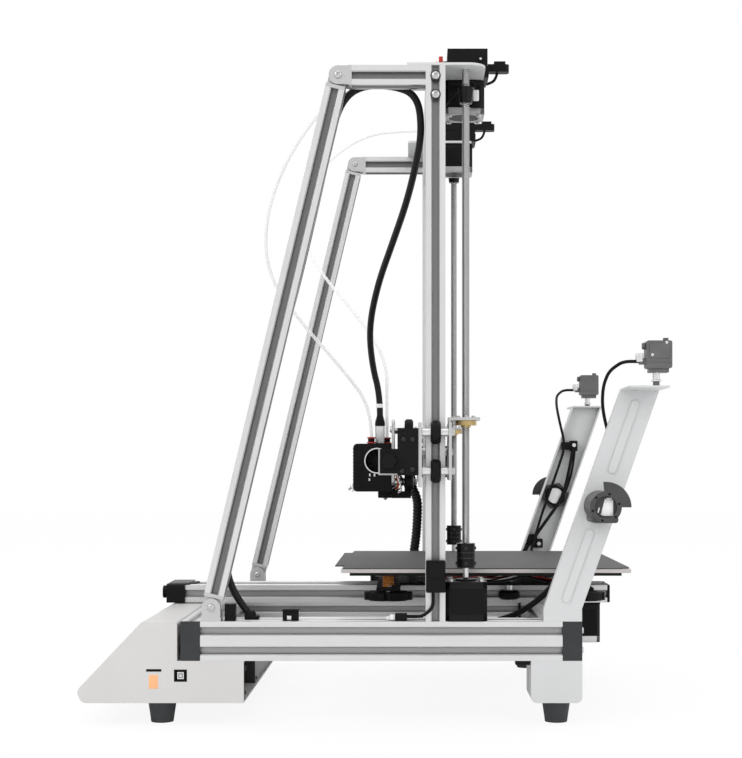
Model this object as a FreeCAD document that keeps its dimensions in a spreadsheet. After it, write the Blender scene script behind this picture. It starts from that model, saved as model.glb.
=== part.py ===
"""A desktop FDM printer with a moving bed, a braced portal frame and two Bowden extruders.

The origin is on the table under the middle of the machine. +X is the printer's right side,
-Y its front, where the control box is, and +Z is up. Every length is in millimetres.
"""

import FreeCAD, Part
import math
import os
import re

import Sketcher

doc = FreeCAD.newDocument("FdmPrinter")

# ---------------------------------------------------------------- driving dimensions

SIZES = {
    # slotted aluminium extrusion
    "module": 20, "slot_mouth": 9.16, "slot_throat": 6.2, "slot_lip": 1.8, "slot_cavity": 11,
    "slot_step": 3.6, "slot_root": 5.8, "slot_depth": 6.1,
    # base frame
    "frame_width": 470, "base_depth": 408, "base_shift": 12, "rail_lift": 66.5,
    "cap_thickness": 3, "foot_height": 23.7, "foot_top": 30, "foot_sole": 23,
    "foot_inset": 32, "front_foot_y": -215.5, "rear_foot_y": 192.3,
    "riser_depth": 52, "riser_width": 60, "sheet": 1.5,
    # portal and braces
    "upright_height": 565, "upright_setback": 229, "stub_length": 75.1,
    "pivot_reach": 14, "pivot_setback": 11, "pivot_radius": 9.5, "pivot_gap": 0.4,
    "pivot_tongue": 8, "top_plate_thickness": 2.5, "top_plate_width": 105,
    "top_plate_front": 19, "top_plate_back": 20, "top_plate_round": 18,
    # control box
    "box_nose_reach": 105.7, "box_nose_height": 36, "box_ridge_reach": 40,
    "box_gap": 3.4, "box_top_drop": 1.1, "box_back_reach": 64.3, "box_tuck": 5,
    "box_round": 7, "screen_width": 112, "screen_height": 70, "screen_depth": 3,
    "supply_width": 215, "supply_depth": 112, "supply_height": 30,
    # motors
    "motor_side": 42.3, "motor_chamfer": 4, "motor_length": 40, "motor_long": 44.5,
    "motor_short": 35.5, "motor_boss": 22, "motor_boss_height": 2, "motor_shaft": 5,
    "motor_plate": 2.5,
    # lead screws
    "screw_diameter": 8, "screw_gap": 0.25, "coupling_diameter": 19, "coupling_length": 25,
    "coupling_lift": 13.5, "stop_top": 17, "stop_bottom": 13, "stop_length": 16,
    "stop_drop": 18.5, "running_gap": 0.05, "nut_flange": 22, "nut_flange_height": 5,
    "nut_barrel": 10.2, "nut_length": 7,
    # V-wheels
    "wheel_diameter": 23.9, "wheel_width": 10.2, "wheel_land": 5.9,
    "wheel_bite": 1.2, "spacer_diameter": 8,
    # Z gantry
    "gantry_plate": 3.5, "gantry_back_plate": 3, "gantry_inset": 60, "gantry_outset": 20,
    "gantry_low": 243, "gantry_height": 65, "gantry_gap": 4, "gantry_back_gap": 3,
    "upper_wheel_z": 298.3, "lower_wheel_z": 259.2, "tab_width": 30, "tab_reach": 29.5,
    "tab_lift": 3,
    # X axis
    "x_rail_z": 276, "rail_reach_right": 17, "rail_reach_left": 27, "x_motor_reach": 46,
    "x_belt_z": 269.3, "belt_thickness": 1.4, "belt_width": 6, "belt_gap": 0.5,
    "pulley_diameter": 12.6, "x_idler_reach": 3, "tensioner_width": 30,
    "x_cover_thickness": 4, "x_knob_diameter": 15.5, "x_knob_length": 9,
    # print head, where it was parked
    "head_x": -25, "head_half_width": 45, "head_plate": 3, "head_plate_low": 241,
    "head_plate_high": 318, "x_wheel_reach": 30, "nozzle_spread": 12.5, "nozzle_y": 11.5,
    "shroud_front": 45, "shroud_left": 27, "shroud_right": 37.5, "shroud_low": 234,
    "shroud_high": 290, "shroud_wall": 2, "shroud_round": 5, "fan_y": 2.5, "fan_z": 270,
    "fan_diameter": 27, "nozzle_tip_z": 224, "heater_low": 229, "heater_height": 11,
    "heater_depth": 14.6, "heater_width": 16, "heatsink_diameter": 14.5,
    # bed, where it was parked
    "bed_y": 122.3, "bed_side": 310, "sheet_top": 155, "sheet_thickness": 1.2,
    "heater_plate": 4, "insulation": 3.7, "insulation_inset": 8.8,
    "carriage_plate": 3, "carriage_top": 131.7, "screw_spread_x": 120, "screw_spread_y": 105,
    "arm_breadth": 26, "carriage_half": 60, "y_wheel_reach": 32, "knob_diameter": 53,
    "knob_height": 8, "knob_drop": 2.2, "seat_gap": 0.3, "spring_diameter": 13, "bed_screw": 4,
    "spring_gap": 1, "sheet_tab": 8.5, "tab_half": 115,
    # Y rail
    "y_rail_front": 218.7, "y_rail_back": 268.3, "channel_width": 20, "channel_floor": 4,
    "y_motor_y": 240.3, "y_idler_y": -227, "tensioner_depth": 21, "y_tensioner_height": 21.5, "tongue_thickness": 1.5,
    "y_knob_diameter": 14.5, "y_knob_length": 8.5,
    # extruders
    "extruder_inset": 80, "extruder_setback": 3.3, "lever_end": 16.2, "lever_rise": 3, "extruder_height": 30.5, "lever_height": 8, "lever_lift": 14.3,
    "lever_length": 61, "lever_width": 12, "lever_pin": 5, "fitting_diameter": 8,
    "fitting_length": 9,
    # spool arms and filament sensors
    "arm_thickness": 2, "arm_tray": 12, "arm_back": 215.7, "arm_breadth_y": 39,
    "arm_run": 79, "arm_top": 343, "arm_foot": 13, "arm_shelf": 60, "rib_width": 8,
    "rib_height": 1.5, "rib_length": 78, "hub_y": 232.8, "hub_z": 224, "hub_diameter": 31,
    "hub_bore": 22, "hub_length": 55, "lip_reach": 25, "lip_thickness": 5,
    "nut_across": 31, "nut_height": 8, "sensor_y": 284.5, "sensor_width": 25,
    "sensor_height": 27, "sensor_thickness": 18, "sensor_inset": 50, "post_height": 13,
    "post_diameter": 6.5, "sensor_base": 4,
    # cords
    "loom_y": 5, "loom_plug_height": 21.5, "loom_boot_height": 9.7, "tube_diameter": 4, "loom_diameter": 7.5, "conduit_diameter": 12.7, "wire_diameter": 3.4,
}

# Places that follow from the driving dimensions.
PLACES = {
    "half_width": "frame_width / 2",
    "rail_x": "half_width - module / 2",
    "rail_top": "rail_lift + 2 * module",
    "base_front": "base_shift - base_depth / 2",
    "base_back": "base_shift + base_depth / 2",
    "rail_front": "base_front + module",
    "rail_back": "base_back - module",
    "upright_front": "rail_front + upright_setback",
    "upright_y": "upright_front + module / 2",
    "upright_back": "upright_front + module",
    "upright_x": "half_width - module",
    "portal_half": "half_width - 2 * module",
    "frame_top": "rail_top + upright_height",
    "stub_z": "frame_top - module / 2",
    "pivot_high_y": "upright_front - stub_length - pivot_reach",
    "pivot_low_y": "rail_front + pivot_setback",
    "pivot_low_z": "rail_top + pivot_reach",
    "brace_rise": "stub_z - pivot_low_z",
    "brace_lean": "pivot_high_y - pivot_low_y",
    "brace_span": "sqrt(brace_rise * brace_rise + brace_lean * brace_lean)",
    "brace_sine": "brace_lean / brace_span",
    "brace_cosine": "brace_rise / brace_span",
    "brace_tilt": "asin(brace_sine) / 1 deg",
    "plate_top": "frame_top + top_plate_thickness",
    "box_front": "base_front - box_nose_reach",
    "box_ridge": "base_front - box_ridge_reach",
    "box_shelf": "base_front - box_gap",
    "box_back": "base_front + box_back_reach",
    "box_top": "rail_top - box_top_drop",
    "slope_run": "box_ridge - box_front",
    "slope_rise": "box_top - box_nose_height",
    "slope_length": "sqrt(slope_run * slope_run + slope_rise * slope_rise)",
    "slope_angle": "asin(slope_rise / slope_length) / 1 deg",
    "screw_y": "upright_back + motor_side / 2 + screw_gap",
    "z_motor_top": "rail_top + motor_length",
    "coupling_z": "z_motor_top + coupling_lift",
    "screw_bottom": "coupling_z + coupling_length / 2",
    "stop_z": "frame_top - stop_drop - stop_length",
    "wheel_reach": "wheel_diameter / 2 - wheel_bite",
    "wheel_flank": "(wheel_width - wheel_land) / 2",
    "front_plate_back": "upright_front - gantry_gap",
    "front_plate_front": "front_plate_back - gantry_plate",
    "back_plate_front": "upright_back + gantry_back_gap",
    "back_plate_back": "back_plate_front + gantry_back_plate",
    "gantry_in": "half_width - gantry_inset",
    "gantry_out": "half_width + gantry_outset",
    "gantry_high": "gantry_low + gantry_height",
    "tab_low": "gantry_high + tab_lift",
    "x_rail_right": "half_width + rail_reach_right",
    "x_rail_left": "half_width + rail_reach_left",
    "x_motor_x": "half_width + x_motor_reach",
    "x_idler_x": "half_width + x_idler_reach",
    "x_rail_y": "front_plate_front - module / 2",
    "x_rail_front": "front_plate_front - module",
    "belt_back": "x_rail_front - belt_gap",
    "belt_front": "belt_back - belt_width",
    "head_plate_back": "belt_front - belt_gap",
    "head_plate_front": "head_plate_back - head_plate",
    "x_wheel_high": "x_rail_z + module + wheel_reach",
    "x_wheel_low": "x_rail_z - module - wheel_reach",
    "shroud_back_y": "head_plate_front",
    "shroud_front_y": "head_plate_front - shroud_front",
    "shroud_x_low": "head_x - shroud_left",
    "shroud_x_high": "head_x + shroud_right",
    "fan_wall_x": "shroud_x_high - shroud_wall",
    "heatsink_low": "heater_low + heater_height + 4",
    "plate_low": "sheet_top - sheet_thickness - heater_plate",
    "insulation_low": "plate_low - insulation",
    "carriage_low": "carriage_top - carriage_plate",
    "knob_top": "carriage_low - knob_drop",
    "y_rail_top": "rail_top + module",
    "y_rail_z": "rail_top + module / 2",
    "y_rail_half": "channel_width / 2 + module",
    "y_belt_z": "y_rail_z - belt_width / 2 + 0.5",
    "y_wheel_x": "y_rail_half + wheel_reach",
    "extruder_x": "half_width - extruder_inset",
    "lever_z": "plate_top + lever_lift",
    "pulley_radius": "pulley_diameter / 2",
    "arm_slope": "arm_run / (arm_top - rail_top - arm_foot)",
    "sensor_x": "half_width + sensor_inset",
    "sensor_low": "arm_top + post_height + sensor_base",
}

sheet = doc.addObject("Spreadsheet::Sheet", "Sizes")
for row, (alias, size) in enumerate(SIZES.items(), start=1):
    sheet.set("A%d" % row, alias)
    sheet.set("B%d" % row, str(size))
    sheet.setAlias("B%d" % row, alias)
places = doc.addObject("App::VarSet", "Places")


def bound(formula, inside=False):
    """The formula as an expression, with each size and place named by the object that holds it."""

    def owner(match):
        word = match.group(0)
        if word in SIZES:
            return "Sizes." + word
        if word in PLACES:
            return word if inside else "Places." + word
        return word

    return re.sub(r"[a-z][a-z_]*", owner, str(formula))


for place in PLACES:
    places.addProperty("App::PropertyFloat", place)
for place, formula in PLACES.items():
    places.setExpression(place, bound(formula, inside=True))
doc.recompute()


def minus(formula):
    return "-(%s)" % formula


# ---------------------------------------------------------------- building blocks

UPRIGHT = FreeCAD.Rotation()
TURN = {
    "z": UPRIGHT,
    "-z": FreeCAD.Rotation(FreeCAD.Vector(1, 0, 0), 180),
    "x": FreeCAD.Rotation(FreeCAD.Vector(0, 1, 0), 90),
    "-x": FreeCAD.Rotation(FreeCAD.Vector(0, 1, 0), -90),
    "y": FreeCAD.Rotation(FreeCAD.Vector(1, 0, 0), -90),
    "-y": FreeCAD.Rotation(FreeCAD.Vector(1, 0, 0), 90),
}
# A profile's wide side stands up when the profile lies along Y or X.
ALONG_Y = FreeCAD.Rotation(
    FreeCAD.Vector(0, 0, 1), FreeCAD.Vector(1, 0, 0), FreeCAD.Vector(0, 1, 0), "XYZ"
)
ALONG_X = FreeCAD.Rotation(
    FreeCAD.Vector(0, 0, 1), FreeCAD.Vector(0, -1, 0), FreeCAD.Vector(1, 0, 0), "XYZ"
)
nodes = {}


def camel(name):
    return "".join(word.capitalize() for word in name.split("_"))


def bind(made, formulas):
    for path, formula in formulas.items():
        made.setExpression(path, bound(formula))
    return made


def put(made, at, turn=UPRIGHT):
    """Turns an object and ties its place to three formulas."""
    made.Placement = FreeCAD.Placement(FreeCAD.Vector(), turn)
    return bind(made, {"Placement.Base." + axis: f for axis, f in zip("xyz", at)})


def block(name, low, size):
    made = doc.addObject("Part::Box", camel(name))
    bind(made, dict(zip(("Length", "Width", "Height"), size)))
    return put(made, low)


def rod(name, diameter, length, at, axis="z"):
    made = doc.addObject("Part::Cylinder", camel(name))
    bind(made, {"Radius": "(%s) / 2" % diameter, "Height": length})
    return put(made, at, TURN[axis])


def cone(name, low_diameter, high_diameter, length, at, axis="z"):
    made = doc.addObject("Part::Cone", camel(name))
    radii = {"Radius1": "(%s) / 2" % low_diameter, "Radius2": "(%s) / 2" % high_diameter}
    bind(made, {**radii, "Height": length})
    return put(made, at, TURN[axis])


def cut(name, base, *tools):
    made = doc.addObject("Part::Cut", camel(name))
    made.Base = base
    made.Tool = tools[0] if len(tools) == 1 else fuse(name + "_tools", *tools)
    return made


def fuse(name, *shapes):
    made = doc.addObject("Part::MultiFuse", camel(name))
    made.Shapes = list(shapes)
    made.Refine = True
    return made


def mirrored(made, normal=(1, 0, 0)):
    """The same piece on the other side of the middle plane."""
    copy = doc.addObject("Part::Mirroring", made.Name + "Mirrored")
    copy.Source = made
    copy.Normal = FreeCAD.Vector(*normal)
    return copy


def both(*pieces):
    """Each piece and its mirror image on the printer's left side."""
    return [side for piece in pieces for side in (piece, mirrored(piece))]


def node(label, *pieces):
    """One named sub-part: a single object, or a group of separate solids."""
    made = pieces[0]
    if len(pieces) > 1:
        made = doc.addObject("Part::Compound", camel(label) + "Node")
        made.Links = list(pieces)
    made.Label = label
    nodes[label] = made
    return made


def sketch(body, plane, loops):
    """Closed outlines whose corners, or centres and radii, are formulas."""
    made = body.newObject("Sketcher::SketchObject", body.Name + "Sketch")
    origin = [f for f in body.Origin.OriginFeatures if f.Role == plane + "_Plane"][0]
    made.AttachmentSupport = [(origin, "")]
    made.MapMode = "FlatFace"
    for loop in loops:
        first = made.GeometryCount
        if loop[0] == "circle":
            x, y, radius = loop[1:]
            made.addGeometry(Part.Circle(FreeCAD.Vector(), FreeCAD.Vector(0, 0, 1), 5.0))
            held = [(first, 3, x, y)]
            c = made.addConstraint(Sketcher.Constraint("Radius", first, 5.0))
            made.setExpression("Constraints[%d]" % c, bound(radius))
        else:
            count = len(loop)
            ring = [
                FreeCAD.Vector(math.cos(2 * math.pi * i / count), math.sin(2 * math.pi * i / count), 0)
                for i in range(count)
            ]
            for i in range(count):
                made.addGeometry(Part.LineSegment(ring[i], ring[(i + 1) % count]))
            for i in range(count):
                joined = Sketcher.Constraint("Coincident", first + i, 2, first + (i + 1) % count, 1)
                made.addConstraint(joined)
            held = [(first + i, 1, x, y) for i, (x, y) in enumerate(loop)]
        for geometry, point, x, y in held:
            for kind, formula in (("DistanceX", x), ("DistanceY", y)):
                c = made.addConstraint(Sketcher.Constraint(kind, -1, 1, geometry, point, 1.0))
                made.setExpression("Constraints[%d]" % c, bound(formula))
    return made


def rectangle(x_low, x_high, y_low, y_high):
    return [(x_low, y_low), (x_high, y_low), (x_high, y_high), (x_low, y_high)]


def edges_along(feature, direction, wanted):
    """The names of a feature's straight edges along a direction whose midpoints are wanted."""
    found = []
    for number, edge in enumerate(feature.Shape.Edges, start=1):
        if edge.Curve.TypeId != "Part::GeomLine":
            continue
        ends = [v.Point for v in edge.Vertexes]
        middle = (ends[0] + ends[1]) * 0.5
        run = (ends[1] - ends[0]).normalize()
        if abs(run.dot(direction)) > 0.999 and wanted(middle):
            found.append("Edge%d" % number)
    return found


def prism(name, plane, loops, length, at=("0", "0", "0"), turn=UPRIGHT, rounds=()):
    """A sketch on one of the body's planes, padded along +X, +Y or +Z, with some edges rounded."""
    body = doc.addObject("PartDesign::Body", camel(name))
    pad = body.newObject("PartDesign::Pad", camel(name) + "Pad")
    pad.Profile = sketch(body, plane, loops)
    pad.Reversed = plane == "XZ"
    bind(pad, {"Length": length})
    tip = pad
    direction = {"XY": (0, 0, 1), "XZ": (0, 1, 0), "YZ": (1, 0, 0)}[plane]
    for step, (radius, wanted) in enumerate(rounds):
        doc.recompute()
        tip_edges = edges_along(tip, FreeCAD.Vector(*direction), wanted)
        rounded = body.newObject("PartDesign::Fillet", "%sRound%d" % (camel(name), step))
        rounded.Base = (tip, tip_edges)
        bind(rounded, {"Radius": radius})
        tip = rounded
    body.Tip = tip
    return put(body, at, turn)


def turned(name, outline, at, axis="z"):
    """A lathe-turned piece: its outline is radius and height, turned about its own axis."""
    body = doc.addObject("PartDesign::Body", camel(name))
    revolution = body.newObject("PartDesign::Revolution", camel(name) + "Turned")
    profile = sketch(body, "XZ", [outline])
    revolution.Profile = profile
    revolution.ReferenceAxis = (profile, ["V_Axis"])
    revolution.Angle = 360
    body.Tip = revolution
    return put(body, at, TURN[axis])


def everywhere(point):
    return True


# ---------------------------------------------------------------- slotted profiles


def slot_loop(quarter, shift_x="0", shift_y="0"):
    """A V-slot's outline, opening to +Y, +X turned back by quarter turns, about one module's centre."""
    face = "module / 2"
    right = [
        ("slot_mouth / 2", face + " + 1"),
        ("slot_mouth / 2", face),
        ("slot_throat / 2", face + " - slot_lip"),
        ("slot_cavity / 2", face + " - slot_lip"),
        ("slot_cavity / 2", face + " - slot_step"),
        ("slot_root / 2", face + " - slot_depth"),
    ]
    corners = right + [(minus(u), v) for u, v in reversed(right)]
    turned_corners = []
    for u, v in corners:
        x, y = [(u, v), (minus(v), u), (minus(u), minus(v)), (v, minus(u))][quarter]
        turned_corners.append(("%s + %s" % (shift_x, x), "%s + %s" % (shift_y, y)))
    return turned_corners


UP, LEFT, DOWN, RIGHT = range(4)


def profile(name, columns, length, at, turn, rows=1):
    """A slotted extrusion of columns by rows of 20 mm modules, with a V-slot in every free face."""
    wide, deep = ("%d * module / 2" % count for count in (columns, rows))
    across, upward = (
        ["%d * module / 2" % (2 * place + 1 - count) for place in range(count)] for count in (columns, rows)
    )
    body = doc.addObject("PartDesign::Body", camel(name))
    pad = body.newObject("PartDesign::Pad", camel(name) + "Billet")
    pad.Profile = sketch(body, "XY", [rectangle(minus(wide), wide, minus(deep), deep)])
    bind(pad, {"Length": length})
    slots = [slot_loop(UP, x, upward[-1]) for x in across] + [slot_loop(DOWN, x, upward[0]) for x in across]
    slots += [slot_loop(LEFT, across[0], y) for y in upward] + [slot_loop(RIGHT, across[-1], y) for y in upward]
    pocket = body.newObject("PartDesign::Pocket", camel(name) + "Slots")
    pocket.Profile = sketch(body, "XY", slots)
    pocket.Type = "ThroughAll"
    pocket.Reversed = True
    body.Tip = pocket
    return put(body, at, turn)


def loop_solid(name, radius, length, at, turn):
    """A block with two round ends, its first end's axis at its place, running along its own +X."""
    ends = [
        rod(name + "_" + end, "2 * (%s)" % radius, "belt_width", (x, "0", "0"))
        for end, x in (("near", "0"), ("far", length))
    ]
    middle = block(name + "_middle", ("0", minus(radius), "0"), (length, "2 * (%s)" % radius, "belt_width"))
    return put(fuse(name, *ends, middle), at, turn)


def belt(name, length, at, turn):
    """A toothed belt's closed loop round two pulleys of the same size."""
    outer = loop_solid(name + "_outer", "pulley_radius + belt_thickness", length, at, turn)
    inner = loop_solid(name + "_inner", "pulley_radius", length, at, turn)
    return cut(name, outer, inner)


def motor(name, length, at, axis="z", bore_depth=None):
    """A square stepper motor with chamfered corners. An open one has its boss and shaft bore too."""
    side = "motor_side / 2"
    flat = "motor_side / 2 - motor_chamfer"
    octagon = [
        (flat, minus(side)), (side, minus(flat)), (side, flat), (flat, side),
        (minus(flat), side), (minus(side), flat), (minus(side), minus(flat)), (minus(flat), minus(side)),
    ]
    body = doc.addObject("PartDesign::Body", camel(name))
    stack = body.newObject("PartDesign::Pad", camel(name) + "Stack")
    stack.Profile = sketch(body, "XY", [octagon])
    bind(stack, {"Length": length})
    if not bore_depth:
        body.Tip = stack
        return put(body, at, TURN[axis])
    boss = body.newObject("PartDesign::Pad", camel(name) + "Boss")
    boss.Profile = sketch(body, "XY", [("circle", "0", "0", "motor_boss / 2")])
    bind(boss, {"Length": "(%s) + motor_boss_height" % length})
    body.Tip = boss
    put(body, at, TURN[axis])
    reach = "(%s) + motor_boss_height - (%s)" % (length, bore_depth)
    along = {"z": (0, 0, 1), "-z": (0, 0, -1), "y": (0, 1, 0), "-y": (0, -1, 0)}[axis]
    start = ["%s + (%s) * %d" % (place, reach, step) for place, step in zip(at, along)]
    bore = rod(name + "_bore", "motor_shaft + 2 * running_gap", "(%s) + 1" % bore_depth, start, axis)
    return cut(name + "_bored", body, bore)


def wheel(name, at, axis, near, far):
    """A V-wheel turned with its two spacers, which reach to the plates near and far from its middle."""
    half = "wheel_width / 2"
    rim = "wheel_diameter / 2"
    outline = [
        ("0", minus(near)), ("spacer_diameter / 2", minus(near)), ("spacer_diameter / 2", minus(half)),
        (rim + " - wheel_flank", minus(half)), (rim, "-wheel_land / 2"), (rim, "wheel_land / 2"),
        (rim + " - wheel_flank", half), ("spacer_diameter / 2", half),
    ]
    if far is None:
        outline = outline[:7] + [("0", half)]
    else:
        outline += [("spacer_diameter / 2", far), ("0", far)]
    return turned(name, outline, at, axis)


# ---------------------------------------------------------------- base frame

side_rail = profile("side_rail", 2, "base_depth - 2 * module",
                    ("upright_x", "rail_front", "rail_lift + module"), ALONG_Y, rows=2)
beams = [
    profile(end + "_beam", 2, "frame_width - 2 * cap_thickness",
            ("cap_thickness - half_width", middle, "rail_lift + module"), ALONG_X)
    for end, middle in (("front", "base_front + module / 2"), ("rear", "base_back - module / 2"))
]
node("base_frame", *both(side_rail), *beams)

caps = [
    prism(end + "_cap", "YZ", [rectangle(low, low + " + module", "rail_lift", "rail_top")],
          "cap_thickness", ("half_width - cap_thickness", "0", "0"))
    for end, low in (("front", "base_front"), ("rear", "rail_back"))
]
node("beam_end_caps", *both(*caps))

feet = [
    cone(end + "_foot", "foot_sole", "foot_top", "foot_height", ("half_width - foot_inset", y, "0"))
    for end, y in (("front", "front_foot_y"), ("rear", "rear_foot_y"))
]
node("feet", *both(*feet))


def under_middle(point):
    return point.z < (places.rail_top + sheet.foot_height) / 2 - sheet.module


riser_low = "base_back - riser_depth"
riser_shell = prism("riser_shell", "YZ", [rectangle(riser_low, "base_back", "foot_height", "rail_lift")],
                    "riser_width", ("half_width - riser_width", "0", "0"), rounds=[("6", under_middle)])
riser_hollow = prism(
    "riser_hollow", "YZ",
    [rectangle(riser_low + " + sheet", "base_back - sheet", "foot_height + sheet", "rail_lift - sheet")],
    "riser_width", ("half_width - riser_width - sheet", "0", "0"), rounds=[("4.5", under_middle)],
)
node("rear_risers", *both(cut("riser", riser_shell, riser_hollow)))

# ---------------------------------------------------------------- portal and braces

upright = profile("upright", 2, "upright_height", ("upright_x", "upright_y", "rail_top"), UPRIGHT)
node("uprights", *both(upright))
node("top_beam", profile("top_beam", 2, "2 * portal_half",
                         (minus("portal_half"), "upright_y", "frame_top - module"), ALONG_X))

stub = profile("stub", 1, "stub_length", ("rail_x", "upright_front - stub_length", "stub_z"), ALONG_Y)
brace = profile(
    "brace", 1, "brace_span - 2 * pivot_reach",
    ("rail_x", "pivot_low_y + pivot_reach * brace_sine", "pivot_low_z + pivot_reach * brace_cosine"),
    FreeCAD.Rotation(FreeCAD.Vector(-1, 0, 0), 10),
)
bind(brace, {"Placement.Rotation.Angle": "brace_tilt"})
node("braces", *both(stub, brace))


def pivot(name, y, z, tongue_turn, fork_turn):
    """A hinge joint between a profile's end and what it leans on: a tongue in a fork."""
    eye = "2 * pivot_radius"
    root_low = "pivot_radius + 0.8"
    inner = "pivot_tongue / 2"
    outer = "module / 2"
    at = ("rail_x", y, z)
    tongue = fuse(
        name + "_tongue",
        put(prism(name + "_neck", "XZ", [rectangle(minus(inner), inner, minus("pivot_reach"), "0")], eye,
                  ("0", minus("pivot_radius"), "0")), ("0", minus("pivot_radius"), "0")),
        put(prism(name + "_root", "XZ",
                  [rectangle(minus(outer), outer, minus("pivot_reach"), minus(root_low))], "module"),
            ("0", "-module / 2", "0")),
        rod(name + "_eye", eye, "pivot_tongue", (minus(inner), "0", "0"), "x"),
    )
    tongue = put(tongue, at, tongue_turn)
    cheeks = [
        [(inner + " + pivot_gap", "0"), (outer, "0"), (outer, "pivot_reach"), (inner + " + pivot_gap", "pivot_reach")],
        [(minus(outer), "0"), (minus(inner + " + pivot_gap"), "0"),
         (minus(inner + " + pivot_gap"), "pivot_reach"), (minus(outer), "pivot_reach")],
    ]
    fork = fuse(
        name + "_fork",
        *[put(prism(name + "_cheek_%d" % i, "XZ", [loop], eye), ("0", minus("pivot_radius"), "0"))
          for i, loop in enumerate(cheeks)],
        put(prism(name + "_yoke", "XZ", [rectangle(minus(outer), outer, root_low, "pivot_reach")], "module"),
            ("0", "-module / 2", "0")),
        *[rod(name + "_ear_%d" % i, eye, outer + " - pivot_gap - " + inner, (x, "0", "0"), "x")
          for i, x in enumerate((inner + " + pivot_gap", minus(outer)))],
    )
    return [tongue, put(fork, at, fork_turn)]


LEAN = FreeCAD.Rotation(FreeCAD.Vector(-1, 0, 0), places.brace_tilt)
LEAN_DOWN = FreeCAD.Rotation(FreeCAD.Vector(-1, 0, 0), 180 + places.brace_tilt)
low_pivot = pivot("low_pivot", "pivot_low_y", "pivot_low_z", LEAN_DOWN, TURN["-z"])
high_pivot = pivot("high_pivot", "pivot_high_y", "stub_z", LEAN, TURN["y"])
node("brace_pivots", *both(*low_pivot, *high_pivot))


def outer_back(point):
    return point.x > places.half_width - 1 and point.y > places.screw_y


def inner_corner(point):
    return point.x < places.extruder_x


top_plate = prism(
    "top_plate", "XY",
    [
        rectangle("half_width - top_plate_width", "half_width",
                  "upright_front - top_plate_front", "screw_y + top_plate_back"),
        ("circle", "upright_x", "screw_y", "screw_diameter / 2 + running_gap"),
    ],
    "top_plate_thickness", ("0", "0", "frame_top"),
    rounds=[("top_plate_round", outer_back), ("5", inner_corner)],
)
node("top_plates", *both(top_plate))

# ---------------------------------------------------------------- control box


def box_loop(inset):
    """The control box's side outline, moved inwards by the sheet when it cuts the hollow."""
    lean = "(%s) * (slope_length - slope_rise) / slope_run" % inset
    crown = "(%s) * (slope_length - slope_run) / slope_rise" % inset
    return [
        ("box_front + box_tuck + (%s)" % inset, "foot_height + (%s)" % inset),
        ("box_back - (%s) + (%s) * 3" % (inset, inset), "foot_height + (%s)" % inset),
        ("box_back - (%s) + (%s) * 3" % (inset, inset), "rail_lift - (%s)" % inset),
        ("box_shelf - (%s)" % inset, "rail_lift - (%s)" % inset),
        ("box_shelf - (%s)" % inset, "box_top - (%s)" % inset),
        ("box_ridge + %s" % crown, "box_top - (%s)" % inset),
        ("box_front + (%s)" % inset, "box_nose_height - %s" % lean),
    ]


def at_nose(point):
    return point.y < (places.box_front + places.box_ridge) / 2


def at_crown(point):
    return point.z > places.box_top - 2 * sheet.sheet


box_solid = prism("box_solid", "YZ", [box_loop("0")], "frame_width", (minus("half_width"), "0", "0"),
                  rounds=[("box_round", at_nose), ("2.5", at_crown)])
box_hollow = prism("box_hollow", "YZ", [box_loop("sheet")], "frame_width - 2 * sheet",
                   ("sheet - half_width", "0", "0"), rounds=[("box_round - sheet", at_nose)])
CARD_SLOT = ("-226.7", "15.5", "55.5", "2.7")
USB_PORT = ("-198.5", "13.2", "45.3", "12.5")
port_cuts = [
    block(name, ("half_width - sheet - 1", y, z), ("sheet + 2", depth, height))
    for name, (y, depth, z, height) in (("card_cut", CARD_SLOT), ("usb_cut", USB_PORT))
]
inlet_cut = block("inlet_cut", ("-half_width - 1", "-186", "32"), ("sheet + 2", "41", "25"))
control_box = cut("control_box", box_solid, box_hollow, *port_cuts, inlet_cut)
node("control_box", control_box)

node("power_supply", block("supply", ("-supply_width / 2", "box_back - supply_depth - 2", "foot_height + sheet"),
                           ("supply_width", "supply_depth", "supply_height")))

screen_turn = FreeCAD.Rotation(FreeCAD.Vector(1, 0, 0), places.slope_angle)
screen_at = ("0", "(box_front + box_ridge) / 2", "(box_nose_height + box_top) / 2")
bezel = prism(
    "bezel", "XY",
    [
        rectangle("-screen_width / 2", "screen_width / 2", "-screen_height / 2", "screen_height / 2"),
        rectangle("6 - screen_width / 2", "screen_width / 2 - 6", "6 - screen_height / 2", "screen_height / 2 - 6"),
    ],
    "screen_depth", screen_at, screen_turn,
)
glass = prism(
    "screen_glass", "XY",
    [rectangle("6 - screen_width / 2", "screen_width / 2 - 6", "6 - screen_height / 2", "screen_height / 2 - 6")],
    "screen_depth - 1", screen_at, screen_turn,
)
node("touch_screen", bezel, glass)


def socket(name, x, sunk, y, depth, z, height, wall):
    """A rectangular socket whose mouth is at x and which is sunk into the box, with a blind floor."""
    low = x if sunk < 0 else "%s - %d" % (x, sunk)
    outer = block(name + "_shell", (low, y, z), (str(abs(sunk)), depth, height))
    floor = 2
    inner_low = "%s + %d" % (low, floor) if sunk > 0 else "%s - 1" % low
    inner = block(
        name + "_hollow",
        (inner_low, "%s + %s" % (y, wall), "%s + %s" % (z, wall)),
        ("%d - %d + 1" % (abs(sunk), floor), "%s - 2 * %s" % (depth, wall), "%s - 2 * %s" % (height, wall)),
    )
    return cut(name, outer, inner)


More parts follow.
